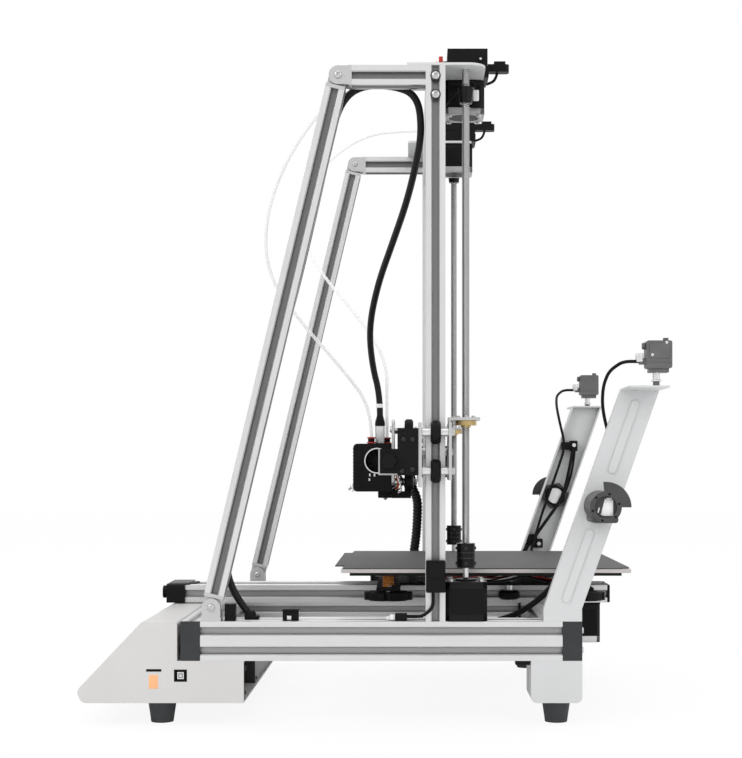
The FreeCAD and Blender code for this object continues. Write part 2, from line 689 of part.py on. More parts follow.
usb = socket("usb_socket", "half_width - 0.2", 16, "-198.2", "12.6", "45.6", "11.9", "1.2")
card_reader = socket("card_reader", "half_width - sheet", 20, "-227.4", "17", "54.6", "4.6", "0.7")
inlet = socket("inlet_socket", "-half_width - 2", -22, "-185.5", "26", "32.5", "24", "3")
rocker_frame = cut(
    "rocker_frame",
    block("rocker_frame_solid", ("-half_width - 2", "-159.3", "32.5"), ("17", "13.8", "24")),
    block("rocker_frame_hollow", ("-half_width - 3", "-158", "34"), ("12", "11.2", "21")),
)
node("box_ports", usb, card_reader, inlet, rocker_frame)
rocker = prism("rocker", "XZ", [[("1.2", "-9"), ("7", "-9"), ("7", "9"), ("3.2", "9"), ("4.2", "0")]],
               "10.6", ("-half_width - 4.5", "-157.7", "44.5"))
node("rocker_switch", rocker)

# ---------------------------------------------------------------- Y axis


def channel_rail():
    """The bed's rail: two modules joined by a floor, with a channel between them for the belt."""
    body = doc.addObject("PartDesign::Body", "ChannelRail")
    pad = body.newObject("PartDesign::Pad", "ChannelRailBillet")
    half = "module / 2"
    inner = "channel_width / 2"
    outline = [
        (minus("y_rail_half"), minus(half)), ("y_rail_half", minus(half)), ("y_rail_half", half),
        (inner, half), (inner, "channel_floor - module / 2"), (minus(inner), "channel_floor - module / 2"),
        (minus(inner), half), (minus("y_rail_half"), half),
    ]
    centres = [minus("channel_width / 2 + module / 2"), "channel_width / 2 + module / 2"]
    pad.Profile = sketch(body, "XY", [outline])
    bind(pad, {"Length": "y_rail_front + y_rail_back"})
    slots = [slot_loop(side, centre) for centre in centres for side in (UP, DOWN)]
    slots += [slot_loop(LEFT, centres[0]), slot_loop(RIGHT, centres[1])]
    pocket = body.newObject("PartDesign::Pocket", "ChannelRailSlots")
    pocket.Profile = sketch(body, "XY", slots)
    pocket.Type = "ThroughAll"
    pocket.Reversed = True
    body.Tip = pocket
    put(body, ("0", "y_rail_back", "y_rail_z"), TURN["-y"])
    shaft_hole = rod("y_shaft_hole", "motor_shaft + 1", "module", ("0", "y_motor_y", "rail_top - 1"))
    boss_hole = rod("y_boss_hole", "motor_boss + 0.6", "1", ("0", "y_motor_y", "rail_top - 1"))
    return cut("bored_channel_rail", body, shaft_hole, boss_hole)


node("y_rail", channel_rail())

tensioner_front = "-y_rail_front - tensioner_depth"
housing = fuse(
    "y_housing",
    prism("y_housing_block", "XZ", [rectangle("-y_rail_half - 3", "y_rail_half + 3", "rail_top",
                                              "rail_top + y_tensioner_height")],
          "tensioner_depth", ("0", tensioner_front, "0"),
          rounds=[("3", lambda point: point.z > places.y_rail_top)]),
    block("y_housing_tongue", ("-12", "-y_rail_front", "y_rail_top"), ("24", "11", "tongue_thickness")),
)
housing_hollow = block("y_housing_hollow", ("-9.5", "%s + 4" % tensioner_front, "y_belt_z - 1.5"),
                       ("19", "tensioner_depth - 4", "belt_width + 3"))
knob_hole = rod("y_knob_hole", "4 + 2 * running_gap", "8", ("0", "%s - 2" % tensioner_front, "y_rail_z"), "y")
idler = rod("y_idler", "pulley_diameter - 0.2", "belt_width + 3", ("0", "y_idler_y", "y_belt_z - 1.5"))
y_back_cap = prism("y_back_cap", "XZ", [rectangle("-y_rail_half", "y_rail_half", "rail_top", "y_rail_top")],
                   "3", ("0", "y_rail_back", "0"), rounds=[("2", everywhere)])
node("y_tensioner", cut("y_housing_cut", housing, housing_hollow, knob_hole), idler, y_back_cap)


def knurled(name, diameter, length, stem, at, axis, lobes):
    """A hand knob: a disc with finger flutes round its rim, and a stem that runs into its housing."""
    body = doc.addObject("PartDesign::Body", camel(name))
    disc = body.newObject("PartDesign::Pad", camel(name) + "Disc")
    disc.Profile = sketch(body, "XY", [("circle", "0", "0", "(%s) / 2" % diameter)])
    bind(disc, {"Length": length})
    flute = body.newObject("PartDesign::Pocket", camel(name) + "Flute")
    flute.Profile = sketch(body, "XY", [("circle", "(%s) / 2 * 1.05" % diameter, "0", "(%s) / 11" % diameter)])
    flute.Type = "ThroughAll"
    flute.Reversed = True
    flutes = body.newObject("PartDesign::PolarPattern", camel(name) + "Flutes")
    flutes.Originals = [flute]
    flutes.Axis = (disc.Profile[0], ["N_Axis"])
    flutes.Angle = 360
    flutes.Occurrences = lobes
    body.Tip = flutes
    if stem:
        pin = body.newObject("PartDesign::Pad", camel(name) + "Stem")
        pin.Profile = sketch(body, "XY", [("circle", "0", "0", "2")])
        bind(pin, {"Length": stem})
        pin.Reversed = True
        body.Tip = pin
    return put(body, at, TURN[axis])


node("y_tension_knob", knurled("y_knob", "y_knob_diameter", "y_knob_length", "4",
                               ("0", tensioner_front + " - seat_gap", "y_rail_z"), "-y", 6))
y_pulley = turned("y_pulley", [
    ("0", "-9"), ("motor_shaft / 2", "-9"), ("motor_shaft / 2", "-1"), ("8", "-1"), ("8", "-0.3"),
    ("pulley_radius - 0.3", "-0.3"), ("pulley_radius - 0.3", "belt_width + 1"), ("0", "belt_width + 1"),
], ("0", "y_motor_y", "y_belt_z"))
node("y_pulley", y_pulley)
node("y_belt", belt("y_belt_loop", "y_motor_y - y_idler_y", ("0", "y_idler_y", "y_belt_z"),
                    FreeCAD.Rotation(FreeCAD.Vector(0, 0, 1), 90)))

# ---------------------------------------------------------------- motors and lead screws

z_motor = motor("z_motor", "motor_length", ("upright_x", "screw_y", "rail_top"), bore_depth="14")
extruder_motor = motor("extruder_motor", "motor_short",
                       ("extruder_x", "screw_y", "frame_top - motor_short"))
y_motor_plate = cut(
    "y_motor_plate",
    block("y_motor_plate_solid", ("-motor_side / 2", "base_back", "rail_top - motor_plate"),
          ("motor_side", "y_motor_y + motor_side / 2 - base_back", "motor_plate")),
    rod("y_motor_plate_hole", "motor_boss + 0.6", "motor_plate + 2",
        ("0", "y_motor_y", "rail_top - motor_plate - 1")),
)
y_motor = motor("y_motor", "motor_long", ("0", "y_motor_y", "rail_top - motor_plate - motor_long"),
                bore_depth="10")
node("stepper_motors", *both(z_motor, extruder_motor), y_motor, y_motor_plate)

lead_screw = rod("lead_screw", "screw_diameter", "plate_top - screw_bottom",
                 ("upright_x", "screw_y", "screw_bottom"))
coupling = turned("coupling", [
    ("0", "0"), ("coupling_diameter / 2", "0"), ("coupling_diameter / 2", "coupling_length"),
    ("screw_diameter / 2", "coupling_length"), ("screw_diameter / 2", "coupling_length / 2"),
    ("0", "coupling_length / 2"),
], ("upright_x", "screw_y", "coupling_z"))
shaft = rod("z_shaft", "motor_shaft", "coupling_lift + 10", ("upright_x", "screw_y", "z_motor_top - 10"))
stop = turned("screw_stop", [
    ("screw_diameter / 2", "0"), ("stop_bottom / 2", "0"), ("stop_top / 2", "stop_length"),
    ("screw_diameter / 2", "stop_length"),
], ("upright_x", "screw_y", "stop_z"))
screw_sets = {"right": [lead_screw, coupling, shaft, stop]}
screw_sets["left"] = [mirrored(piece) for piece in screw_sets["right"]]
for side, (screw_piece, *fittings) in screw_sets.items():
    node("lead_screw_" + side, screw_piece)
    node("screw_fittings_" + side, *fittings)

# ---------------------------------------------------------------- Z gantry

tab_hole = rod("tab_hole", "screw_diameter + 2", "gantry_back_plate + 2", ("upright_x", "screw_y", "tab_low - 1"))


def gantry_front(name, low, width):
    return block(name, (low, "front_plate_front", "gantry_low"), (width, "gantry_plate", "gantry_height"))


back_plate = fuse(
    "gantry_back",
    block("gantry_back_sheet", ("gantry_in", "back_plate_front", "gantry_low + 7"),
          ("gantry_out - gantry_in", "gantry_back_plate", "gantry_height - 7")),
    block("gantry_neck", ("upright_x - tab_width / 2", "back_plate_front", "gantry_high"),
          ("tab_width", "gantry_back_plate", "tab_lift + gantry_back_plate")),
    block("gantry_tab", ("upright_x - tab_width / 2", "back_plate_back", "tab_low"),
          ("tab_width", "tab_reach", "gantry_back_plate")),
)
back_plate = cut("gantry_back_bored", back_plate, tab_hole)
guard = fuse(
    "tensioner_guard",
    block("guard_front", ("x_rail_right - tensioner_width", "belt_front - 13.6", "x_belt_z - 14"),
          ("tensioner_width", "1.6", "26.5")),
    block("guard_floor", ("x_rail_right - tensioner_width", "belt_front - 12", "x_belt_z - 14"),
          ("tensioner_width", "18.4", "1.6")),
)
right_front = gantry_front("gantry_front_right", "gantry_in", "gantry_out - gantry_in")
left_low = "-x_motor_x - motor_side / 2 - 1"
left_front = cut(
    "gantry_front_left_bored",
    gantry_front("gantry_front_left", left_low, "x_motor_x + motor_side / 2 + 1 - gantry_in"),
    rod("x_boss_hole", "motor_boss + 0.6", "gantry_plate + 2", ("-x_motor_x", "front_plate_front - 1", "x_belt_z"), "y"),
)
node("gantry_plates", right_front, left_front, *both(back_plate), guard)

nut_bore = "screw_diameter / 2 + running_gap"
nut = turned("lead_nut", [
    (nut_bore, "0"), ("nut_flange / 2", "0"), ("nut_flange / 2", "-nut_flange_height"),
    ("nut_barrel / 2", "-nut_flange_height"), ("nut_barrel / 2", "-nut_length"), (nut_bore, "-nut_length"),
], ("upright_x", "screw_y", "tab_low"))
node("lead_nuts", *both(nut))

near = "upright_y - front_plate_back"
far = "back_plate_front - upright_y"
outer_x = "half_width + wheel_reach"
inner_x = "portal_half - wheel_reach"
z_wheels = [
    wheel("z_wheel_" + name, (x, "upright_y", z), "y", near, far)
    for name, x, z in (
        ("outer_high", outer_x, "upper_wheel_z"), ("outer_low", outer_x, "lower_wheel_z"),
        ("inner", inner_x, "(upper_wheel_z + lower_wheel_z) / 2"),
    )
]
node("z_wheels", *both(*z_wheels))

# ---------------------------------------------------------------- X axis

node("x_rail", profile("x_rail", 2, "x_rail_left + x_rail_right", ("-x_rail_left", "x_rail_y", "x_rail_z"),
                       ALONG_X))
cover_right = block("x_cover_plate", ("x_rail_right", "x_rail_front - 1", "x_rail_z - module - 1"),
                    ("x_cover_thickness", "module + 1", "47.4"))
tensioner_front_y = "belt_front - 12"
x_housing = block("x_housing", ("x_rail_right - tensioner_width", tensioner_front_y, "x_belt_z - 12.3"),
                  ("tensioner_width + x_cover_thickness", "x_rail_front - 0.6 - (%s)" % tensioner_front_y, "24.6"))
x_housing_hollow = block("x_housing_hollow", ("x_rail_right - tensioner_width - 1", "belt_front - 1", "x_belt_z - 9"),
                         ("tensioner_width - 1", "belt_width + 3", "18"))
x_knob_hole = rod("x_knob_hole", "4 + 2 * running_gap", "12", ("x_rail_right - 4", "belt_front - 3.2", "x_belt_z"), "x")
cover = cut("x_end_cover_right", fuse("x_cover_whole", cover_right, x_housing), x_housing_hollow, x_knob_hole)
left_cap = block("x_cap_left", ("-x_rail_left - 3", "x_rail_front", "x_rail_z - module"), ("3", "module", "2 * module"))
x_idler = rod("x_idler", "pulley_diameter - 0.2", "belt_width + 1.4", ("x_idler_x", "belt_front - 1", "x_belt_z"), "y")
node("x_end_covers", cover, left_cap, x_idler)
node("x_tension_knob", knurled("x_knob", "x_knob_diameter", "x_knob_length", "6",
                               ("x_rail_right + x_cover_thickness + seat_gap", "belt_front - 3.2", "x_belt_z"), "x", 6))
x_motor = motor("x_motor", "motor_length", ("-x_motor_x", "front_plate_back + motor_length", "x_belt_z"), "-y",
                bore_depth="10")
node("x_motor", x_motor)
x_pulley = turned("x_pulley", [
    ("0", "0"), ("8", "0"), ("8", "0.7"), ("pulley_radius - 0.3", "0.7"), ("pulley_radius - 0.3", "belt_width + 2"),
    ("motor_shaft / 2", "belt_width + 2"), ("motor_shaft / 2", "front_plate_back - belt_front + 7"),
    ("0", "front_plate_back - belt_front + 7"),
], ("-x_motor_x", "belt_front - 1", "x_belt_z"), "y")
node("x_pulley", x_pulley)
node("x_belt", belt("x_belt_loop", "x_motor_x + x_idler_x", ("-x_motor_x", "belt_back", "x_belt_z"), TURN["-y"]))

# ---------------------------------------------------------------- print head

head_plate = prism(
    "head_plate", "XZ",
    [rectangle("head_x - head_half_width", "head_x + head_half_width", "head_plate_low", "head_plate_high")],
    "head_plate", ("0", "head_plate_front", "0"), rounds=[("6", everywhere)],
)
node("head_plate", head_plate)
x_wheels = [
    wheel("x_wheel_%s_%s" % (row, side), ("head_x %s x_wheel_reach" % sign, "x_rail_y", z), "y",
          "x_rail_y - head_plate_back", None)
    for row, z in (("high", "x_wheel_high"), ("low", "x_wheel_low"))
    for side, sign in (("left", "-"), ("right", "+"))
]
node("x_wheels", *x_wheels)


def at_front(point):
    return point.y < places.head_plate_front - sheet.shroud_front / 2


shroud_loop = rectangle("shroud_front_y", "shroud_back_y", "shroud_low", "shroud_high")
shroud_solid = prism("shroud_solid", "YZ", [shroud_loop], "shroud_left + shroud_right", ("shroud_x_low", "0", "0"),
                     rounds=[("shroud_round", at_front)])
fan_bulkhead_x = "fan_wall_x - 12"
hollows = [
    block(name, (low, "shroud_front_y + shroud_wall", "shroud_low - 1"),
          (width, "shroud_front", "shroud_high - shroud_low - shroud_wall + 1"))
    for name, low, width in (
        ("shroud_bay", "shroud_x_low + shroud_wall", "%s - shroud_x_low - 2 * shroud_wall" % fan_bulkhead_x),
        ("shroud_fan_bay", fan_bulkhead_x, "12"),
    )
]
fan_mouth = rod("fan_mouth", "fan_diameter", "6", ("fan_wall_x - 2", "fan_y", "fan_z"), "x")
fan_post = rod("fan_post", "3", "8.5", (fan_bulkhead_x + " - 0.5", "fan_y", "fan_z"), "x")
shroud = fuse("shroud_with_post", cut("shroud_shell", shroud_solid, *hollows, fan_mouth), fan_post)
duct = block("part_duct", ("head_x - 20", "head_plate_back", "nozzle_tip_z + 2"), ("40", "19.5", "7.6"))
duct_neck = block("duct_neck", ("head_x - 20", "head_plate_front", "nozzle_tip_z + 2"),
                  ("40", "head_plate", "head_plate_low - nozzle_tip_z - 2"))
loom_plug = block("loom_plug", ("head_x - 7", "loom_y - 5.2", "shroud_high"), ("14", "10.4", "loom_plug_height"))
boot = cone("loom_boot", "11.6", "8", "loom_boot_height", ("head_x", "loom_y", "shroud_high + loom_plug_height"))
fittings = [
    rod("head_fitting_" + side, "fitting_diameter", "8", ("head_x %s nozzle_spread" % sign, y, "shroud_high"))
    for side, sign, y in (("left", "-", "13"), ("right", "+", "-5"))
]
node("head_shroud", shroud, fuse("duct", duct, duct_neck), loom_plug, boot, *fittings)


def fan_rotor():
    """A blower wheel: a hub bored for its post and a ring of radial vanes."""
    body = doc.addObject("PartDesign::Body", "FanRotor")
    hub = body.newObject("PartDesign::Pad", "FanRotorHub")
    hub.Profile = sketch(body, "XY", [("circle", "0", "0", "5.5"), ("circle", "0", "0", "1.5 + running_gap")])
    bind(hub, {"Length": "7.5"})
    vane = body.newObject("PartDesign::Pad", "FanRotorVane")
    vane.Profile = sketch(body, "XY", [rectangle("5", "fan_diameter / 2 - 1.5", "-0.6", "0.6")])
    bind(vane, {"Length": "7.5"})
    vanes = body.newObject("PartDesign::PolarPattern", "FanRotorVanes")
    vanes.Originals = [vane]
    vanes.Axis = (hub.Profile[0], ["N_Axis"])
    vanes.Angle = 360
    vanes.Occurrences = 9
    body.Tip = vanes
    return put(body, (fan_bulkhead_x + " + 0.5", "fan_y", "fan_z"), TURN["x"])


node("head_fan", fan_rotor())

hot_ends = []
for side, sign in (("left", "-"), ("right", "+")):
    x = "head_x %s nozzle_spread" % sign
    hot_ends += [
        block("heater_" + side, ("%s - heater_width / 2" % x, "nozzle_y - heater_depth / 2", "heater_low"),
              ("heater_width", "heater_depth", "heater_height")),
        turned("heatsink_" + side, [
            ("0", "heater_low + heater_height"), ("3", "heater_low + heater_height"), ("3", "heatsink_low"),
            ("heatsink_diameter / 2", "heatsink_low"), ("heatsink_diameter / 2", "shroud_high - shroud_wall"),
            ("0", "shroud_high - shroud_wall"),
        ], (x, "nozzle_y", "0")),
        cone("nozzle_" + side, "2.2", "7", "heater_low - nozzle_tip_z", (x, "nozzle_y", "nozzle_tip_z")),
    ]
node("hot_ends", *hot_ends)

# ---------------------------------------------------------------- bed

arm_low = "screw_spread_y - arm_breadth / 2"
arm_high = "screw_spread_y + arm_breadth / 2"
arm_tip = "screw_spread_x + arm_breadth / 2"
quadrant = [
    ("carriage_half", arm_low), (arm_tip, arm_low), (arm_tip, arm_high),
]
carriage_loop = (
    [(u, v) for u, v in quadrant]
    + [(minus(u), v) for u, v in reversed(quadrant)]
    + [(minus(u), minus(v)) for u, v in quadrant]
    + [(u, minus(v)) for u, v in reversed(quadrant)]
)
corners = [(sx, sy) for sx in ("", "-") for sy in ("", "-")]
screw_holes = [("circle", sx + "screw_spread_x", sy + "screw_spread_y", "bed_screw / 2 + 0.3") for sx, sy in corners]
carriage = prism("carriage", "XY", [carriage_loop] + screw_holes, "carriage_plate", ("0", "bed_y", "carriage_low"))
clamp = block("belt_clamp", ("3", "bed_y - 14", "y_belt_z + belt_width + 0.3"),
              ("7", "28", "carriage_low - y_belt_z - belt_width - 0.3"))
node("bed_carriage", fuse("carriage_with_clamp", carriage, clamp))

half_bed = "bed_side / 2"
heater = block("heater_plate", (minus(half_bed), "bed_y - " + half_bed, "plate_low"),
               ("bed_side", "bed_side", "heater_plate"))
in_half = "(bed_side / 2 - insulation_inset)"
spring_holes = [
    ("circle", sx + "screw_spread_x", sy + "screw_spread_y", "spring_diameter / 2 + spring_gap") for sx, sy in corners
]
insulation = prism("bed_insulation", "XY", [rectangle(minus(in_half), in_half, minus(in_half), in_half)] + spring_holes,
                   "insulation", ("0", "bed_y", "insulation_low"))
node("heated_bed", heater, insulation)

sheet_front = "2 - bed_side / 2"
tab_front = "-bed_side / 2 - sheet_tab"
chamfer = "bed_side / 2 - 14"
sheet_loop = [
    ("-tab_half", tab_front), ("tab_half", tab_front), ("tab_half", sheet_front), (half_bed, sheet_front),
    (half_bed, chamfer), (chamfer, half_bed), (minus(chamfer), half_bed), (minus(half_bed), chamfer),
    (minus(half_bed), sheet_front), ("-tab_half", sheet_front),
]
node("print_sheet", prism("print_sheet", "XY", [sheet_loop], "sheet_thickness",
                          ("0", "bed_y", "sheet_top - sheet_thickness")))

springs = []
for number, (sx, sy) in enumerate(corners, start=1):
    x, y = sx + "screw_spread_x", "bed_y + %s" % (sy + "screw_spread_y")
    screw_low = "knob_top + seat_gap - carriage_top"
    springs.append(turned("bed_spring_%d" % number, [
        ("0", screw_low), ("bed_screw / 2", screw_low), ("bed_screw / 2", "0"), ("spring_diameter / 2", "0"),
        ("spring_diameter / 2", "plate_low - carriage_top"), ("0", "plate_low - carriage_top"),
    ], (x, y, "carriage_top")))
    node("level_knob_%d" % number, knurled("level_knob_%d" % number, "knob_diameter", "knob_height", None,
                                           (x, y, "knob_top - knob_height"), "z", 6))
node("bed_springs", *springs)

y_wheels = [
    wheel("y_wheel_%d" % number, (sx + "y_wheel_x", "bed_y + %s" % (sy + "y_wheel_reach"), "y_rail_z"), "-z",
          "carriage_low - y_rail_z", None)
    for number, (sx, sy) in enumerate(corners, start=1)
]
node("y_wheels", *y_wheels)

# ---------------------------------------------------------------- extruders

base_low = ("extruder_x - motor_side / 2", "screw_y - motor_side / 2 + extruder_setback")
extruder_core = fuse(
    "extruder_core",
    block("extruder_base", (*base_low, "plate_top"), ("motor_side", "motor_side", "lever_lift - 0.4")),
    block("extruder_side", ("extruder_x - motor_side / 2 + lever_width + 4", base_low[1], "plate_top"),
          ("motor_side - lever_width - 4", "motor_side", "extruder_height")),
    prism("extruder_lid", "XY",
          [rectangle(base_low[0], "extruder_x", base_low[1], "screw_y + motor_side / 2 - 6")],
          "extruder_height - lever_lift - lever_height - 0.4", ("0", "0", "lever_z + lever_height + 0.4"),
          rounds=[("6", inner_corner)]),
    rod("lever_post", "lever_pin", "lever_height + 2",
        ("extruder_x - motor_side / 2 + lever_width / 2", base_low[1] + " + lever_width / 2", "lever_z - 1")),
)
fitting = rod("tube_fitting", "fitting_diameter", "fitting_length",
              ("extruder_x", base_low[1], "lever_z + lever_height / 2"), "-y")
node("extruder_bodies", *both(extruder_core, fitting))

lever_low = "extruder_x - motor_side / 2"
lever = prism(
    "lever", "XY",
    [rectangle(lever_low, lever_low + " + lever_width", base_low[1], base_low[1] + " + lever_length + 6")],
    "lever_height", ("0", "0", "lever_z"), rounds=[("4", everywhere)],
)
lever_bore = rod("lever_bore", "lever_pin + 2 * running_gap", "lever_height + 2",
                 (lever_low + " + lever_width / 2", base_low[1] + " + lever_width / 2", "lever_z - 1"))
lever_block = block("lever_block", (lever_low, base_low[1] + " + lever_length + 6 - lever_end", "lever_z"),
                    ("lever_width", "lever_end - 4", "lever_height + lever_rise"))
lever = cut("extruder_lever", fuse("lever_with_block", lever, lever_block), lever_bore)
node("extruder_lever_right", lever)
node("extruder_lever_left", mirrored(lever))

# ---------------------------------------------------------------- spool arms and sensors


def arm_loop(inset):
    """The leaning arm's side outline, with its short upright foot, moved inwards by a formula."""
    front = "arm_back - arm_breadth_y"
    low = "rail_top + %s" % inset
    knee = "rail_top + arm_foot"
    return [
        ("%s + %s" % (front, inset), low), ("arm_back - %s" % inset, low), ("arm_back - %s" % inset, knee),
        ("arm_back + arm_run - %s - arm_slope * %s" % (inset, inset), "arm_top - %s" % inset),
        ("%s + arm_run + %s - arm_slope * %s" % (front, inset, inset), "arm_top - %s" % inset),
        ("%s + %s" % (front, inset), knee),
    ]


arm_tray = cut(
    "arm_tray",
    prism("arm_solid", "YZ", [arm_loop("0")], "arm_tray", ("half_width - arm_tray", "0", "0")),
    prism("arm_hollow", "YZ", [arm_loop("arm_thickness")], "arm_tray",
          ("half_width - arm_tray - arm_thickness", "0", "0")),
)
shelf = block("arm_shelf", ("half_width", "arm_back + arm_run - arm_breadth_y", "arm_top - arm_thickness"),
              ("arm_shelf", "arm_breadth_y", "arm_thickness"))
arm_tilt = math.degrees(math.atan(places.arm_slope))


def rib(name, middle):
    """A stamped rib, standing out of the arm's outer face along the arm."""
    y = "arm_back - arm_breadth_y / 2 + arm_slope * (%s - rail_top - arm_foot)" % middle
    loop = rectangle("-rib_width / 2", "rib_width / 2", "-rib_length / 2", "rib_length / 2")
    return prism(name, "YZ", [loop], "rib_height", ("half_width", y, middle),
                 FreeCAD.Rotation(FreeCAD.Vector(-1, 0, 0), arm_tilt), rounds=[("rib_width / 2 - 0.1", everywhere)])


arm = fuse("spool_arm", arm_tray, shelf, rib("upper_rib", "294"), rib("lower_rib", "163"))
node("spool_arms", *both(arm))


def hub(name, lip_angles):
    """A spool peg: a tube with a quarter-round lip at its end and a hexagon nut inside the arm."""
    tube = cut(
        name + "_tube",
        rod(name + "_tube_solid", "hub_diameter", "hub_length", ("half_width", "hub_y", "hub_z"), "x"),
        rod(name + "_tube_bore", "hub_bore", "hub_length", ("half_width + 3", "hub_y", "hub_z"), "x"),
    )
    start, end = (math.radians(a) for a in lip_angles)
    disc = rod(name + "_lip_disc", "2 * lip_reach", "lip_thickness",
               ("half_width + hub_length - lip_thickness", "hub_y", "hub_z"), "x")
    reach = 40
    wedge = prism(
        name + "_lip_wedge", "YZ",
        [[("0", "0")] + [("%f" % (reach * math.cos(a)), "%f" % (reach * math.sin(a)))
                         for a in (start, (start + end) / 2, end)]],
        "lip_thickness", ("half_width + hub_length - lip_thickness", "hub_y", "hub_z"),
    )
    sector = doc.addObject("Part::MultiCommon", camel(name) + "Sector")
    sector.Shapes = [disc, wedge]
    mouth = rod(name + "_lip_mouth", "hub_bore", "lip_thickness + 2",
                ("half_width + hub_length - lip_thickness - 1", "hub_y", "hub_z"), "x")
    return fuse(name, tube, cut(name + "_lip", sector, mouth))


corner = "nut_across / sqrt(3)"
hexagon = [
    ("%s * %f" % (corner, math.cos(math.radians(turn))), "%s * %f" % (corner, math.sin(math.radians(turn))))
    for turn in range(0, 360, 60)
]
hub_nut = prism("hub_nut", "YZ", [hexagon], "nut_height", ("half_width - arm_thickness - nut_height", "hub_y", "hub_z"),
                FreeCAD.Rotation(FreeCAD.Vector(-1, 0, 0), 30 + arm_tilt))
right_hub = hub("right_hub", (0, 95))
left_hub = mirrored(hub("left_hub", (85, 180)))
node("spool_hubs", right_hub, left_hub, *both(hub_nut))

sensor_low_x = "sensor_x - sensor_thickness / 2"
sensor_front = "sensor_y - sensor_width / 2"
sensor_body = prism(
    "sensor_body", "YZ", [rectangle(sensor_front, sensor_front + " + sensor_width", "sensor_low", "sensor_low + sensor_height")],
    "sensor_thickness", (sensor_low_x, "0", "0"), rounds=[("2", everywhere)],
)
sensor_foot = block("sensor_foot", (sensor_low_x + " + 2", sensor_front + " + 3", "sensor_low - sensor_base"),
                    ("sensor_thickness - 4", "sensor_width - 6", "sensor_base"))
sensor_post = rod("sensor_post", "post_diameter", "post_height", ("sensor_x", "arm_back + arm_run - 12", "arm_top"))
sensor_nub = rod("sensor_nub", "5.5", "3", ("sensor_x", "sensor_y + 7.5", "sensor_low + sensor_height"))
sensor_plug = block("sensor_plug", ("sensor_x - 4", sensor_front + " - 6", "sensor_low + 4"), ("8", "6", "6"))
node("filament_sensors", *both(sensor_body, sensor_foot, sensor_post, sensor_nub, sensor_plug))

# ---------------------------------------------------------------- small fixed parts

endstop = prism("z_endstop", "YZ", [rectangle("upright_front + 0.2", "upright_back - 0.2", "136.7", "169")], "12",
                ("half_width", "0", "0"), rounds=[("1.5", everywhere)])
node("z_endstop", endstop)

clips = []
for name, z in (("upper", 290.0), ("lower", 168.0)):
    front = "arm_back - arm_breadth_y + arm_slope * (%s - rail_top - arm_foot)" % z
    clips.append(block(name + "_clip", ("half_width - arm_tray - 0.5", front + " + 5", "%s - 5" % z),
                       ("arm_tray - arm_thickness + 0.5", "10", "10")))
rail_clips = [
    block("rail_clip_front", ("rail_x - 7", "-148", "rail_top"), ("10", "11", "17")),
    block("rail_clip_middle", ("rail_x - 9", "-89", "rail_top"), ("9", "16", "10")),
    block("rail_clip_under", ("rail_x - 6", "148.5", "rail_lift - 4.5"), ("14", "14.5", "4.5")),
    block("endstop_plug", ("rail_x - 7", "26", "rail_top"), ("12", "12", "7")),
]
node("cable_clips", *both(*clips), *rail_clips)

# ---------------------------------------------------------------- cords


def cord(name, diameter, points):
    """A cord's tube: straight runs joined by tangent arcs, each as large as its two runs allow."""
    points = [FreeCAD.Vector(*p) for p in points]
    edges, start, radii = [], points[0], []
    for before, corner, after in zip(points, points[1:], points[2:]):
        back, ahead = before - corner, after - corner
        shorter = min(back.Length, ahead.Length)
        back.normalize()
        ahead.normalize()
        half_turn = (math.pi - back.getAngle(ahead)) / 2
        reach = 0.45 * shorter
        radius = reach / math.tan(half_turn)
        radii.append(radius)
        first, last = corner + back * reach, corner + ahead * reach
        inward = (back + ahead).normalize()
        middle = corner + inward * (radius / math.cos(half_turn) - radius)
        edges += [Part.LineSegment(start, first).toShape(), Part.Arc(first, middle, last).toShape()]
        start = last
    edges.append(Part.LineSegment(start, points[-1]).toShape())
    path = Part.Wire(edges)
    section = Part.Wire(Part.Circle(points[0], points[1] - points[0], diameter / 2).toShape())
    solid = path.makePipeShell([section], True, False)
    expected = math.pi * diameter**2 / 4 * path.Length
    print("%s: length %.0f mm, tightest radius %.0f mm, volume ratio %.4f"
          % (name, path.Length, min(radii), solid.Volume / expected))
    made = doc.addObject("Part::Feature", camel(name))
    made.Shape = solid
    return made


shroud_top = sheet.shroud_high
tube_z = places.lever_z + sheet.lever_height / 2
loom_top = shroud_top + sheet.loom_plug_height + sheet.loom_boot_height + 0.3
fitting_y = places.screw_y - sheet.motor_side / 2 + sheet.extruder_setback - sheet.fitting_length
TUBE_RIGHT = [
    (places.extruder_x, fitting_y, tube_z), (places.extruder_x, 34, tube_z), (145, -16, 683),
    (127, -59, 649), (107, -97, 599), (87, -121, 540), (63, -121, 480), (38, -83, 427),
    (12, -39, 378), (-12.5, -5, 334), (sheet.head_x + sheet.nozzle_spread, -5, shroud_top + 8),
]
TUBE_LEFT = [
    (-places.extruder_x, fitting_y, tube_z), (-places.extruder_x, 32, tube_z), (-148, -17, 685),
    (-133, -61, 652), (-113, -94, 604), (-92, -96, 547), (-73, -63, 492), (-56, -18, 440),
    (-42, 13, 390), (-37.5, 13, 338), (sheet.head_x - sheet.nozzle_spread, 13, shroud_top + 8),
]
HEAD_LOOM = [
    (212, -124, 111.5), (210, -142, 132), (208.5, -151, 170), (208, -143, 226), (208.3, -126, 280),
    (208.5, -109, 334), (208.5, -93, 388), (208.5, -78, 442), (208.5, -65, 496), (208.5, -53, 548),
    (208.3, -41, 598), (207.5, -21, 638), (206.5, 8, 653), (205, 36, 648), (201, 46, 620),
    (178, 44, 583), (143, 36, 549), (100, 22, 512), (55, 4, 470), (15, -7, 425), (-14, -4, 383),
    (-25, 5, 348), (sheet.head_x, sheet.loom_y, loom_top),
]
CONDUIT = [(-224, 32.5, 106.9), (-224, 32.5, 150), (-214.5, 41.5, 205), (-214.5, 41.5, 255.7)]
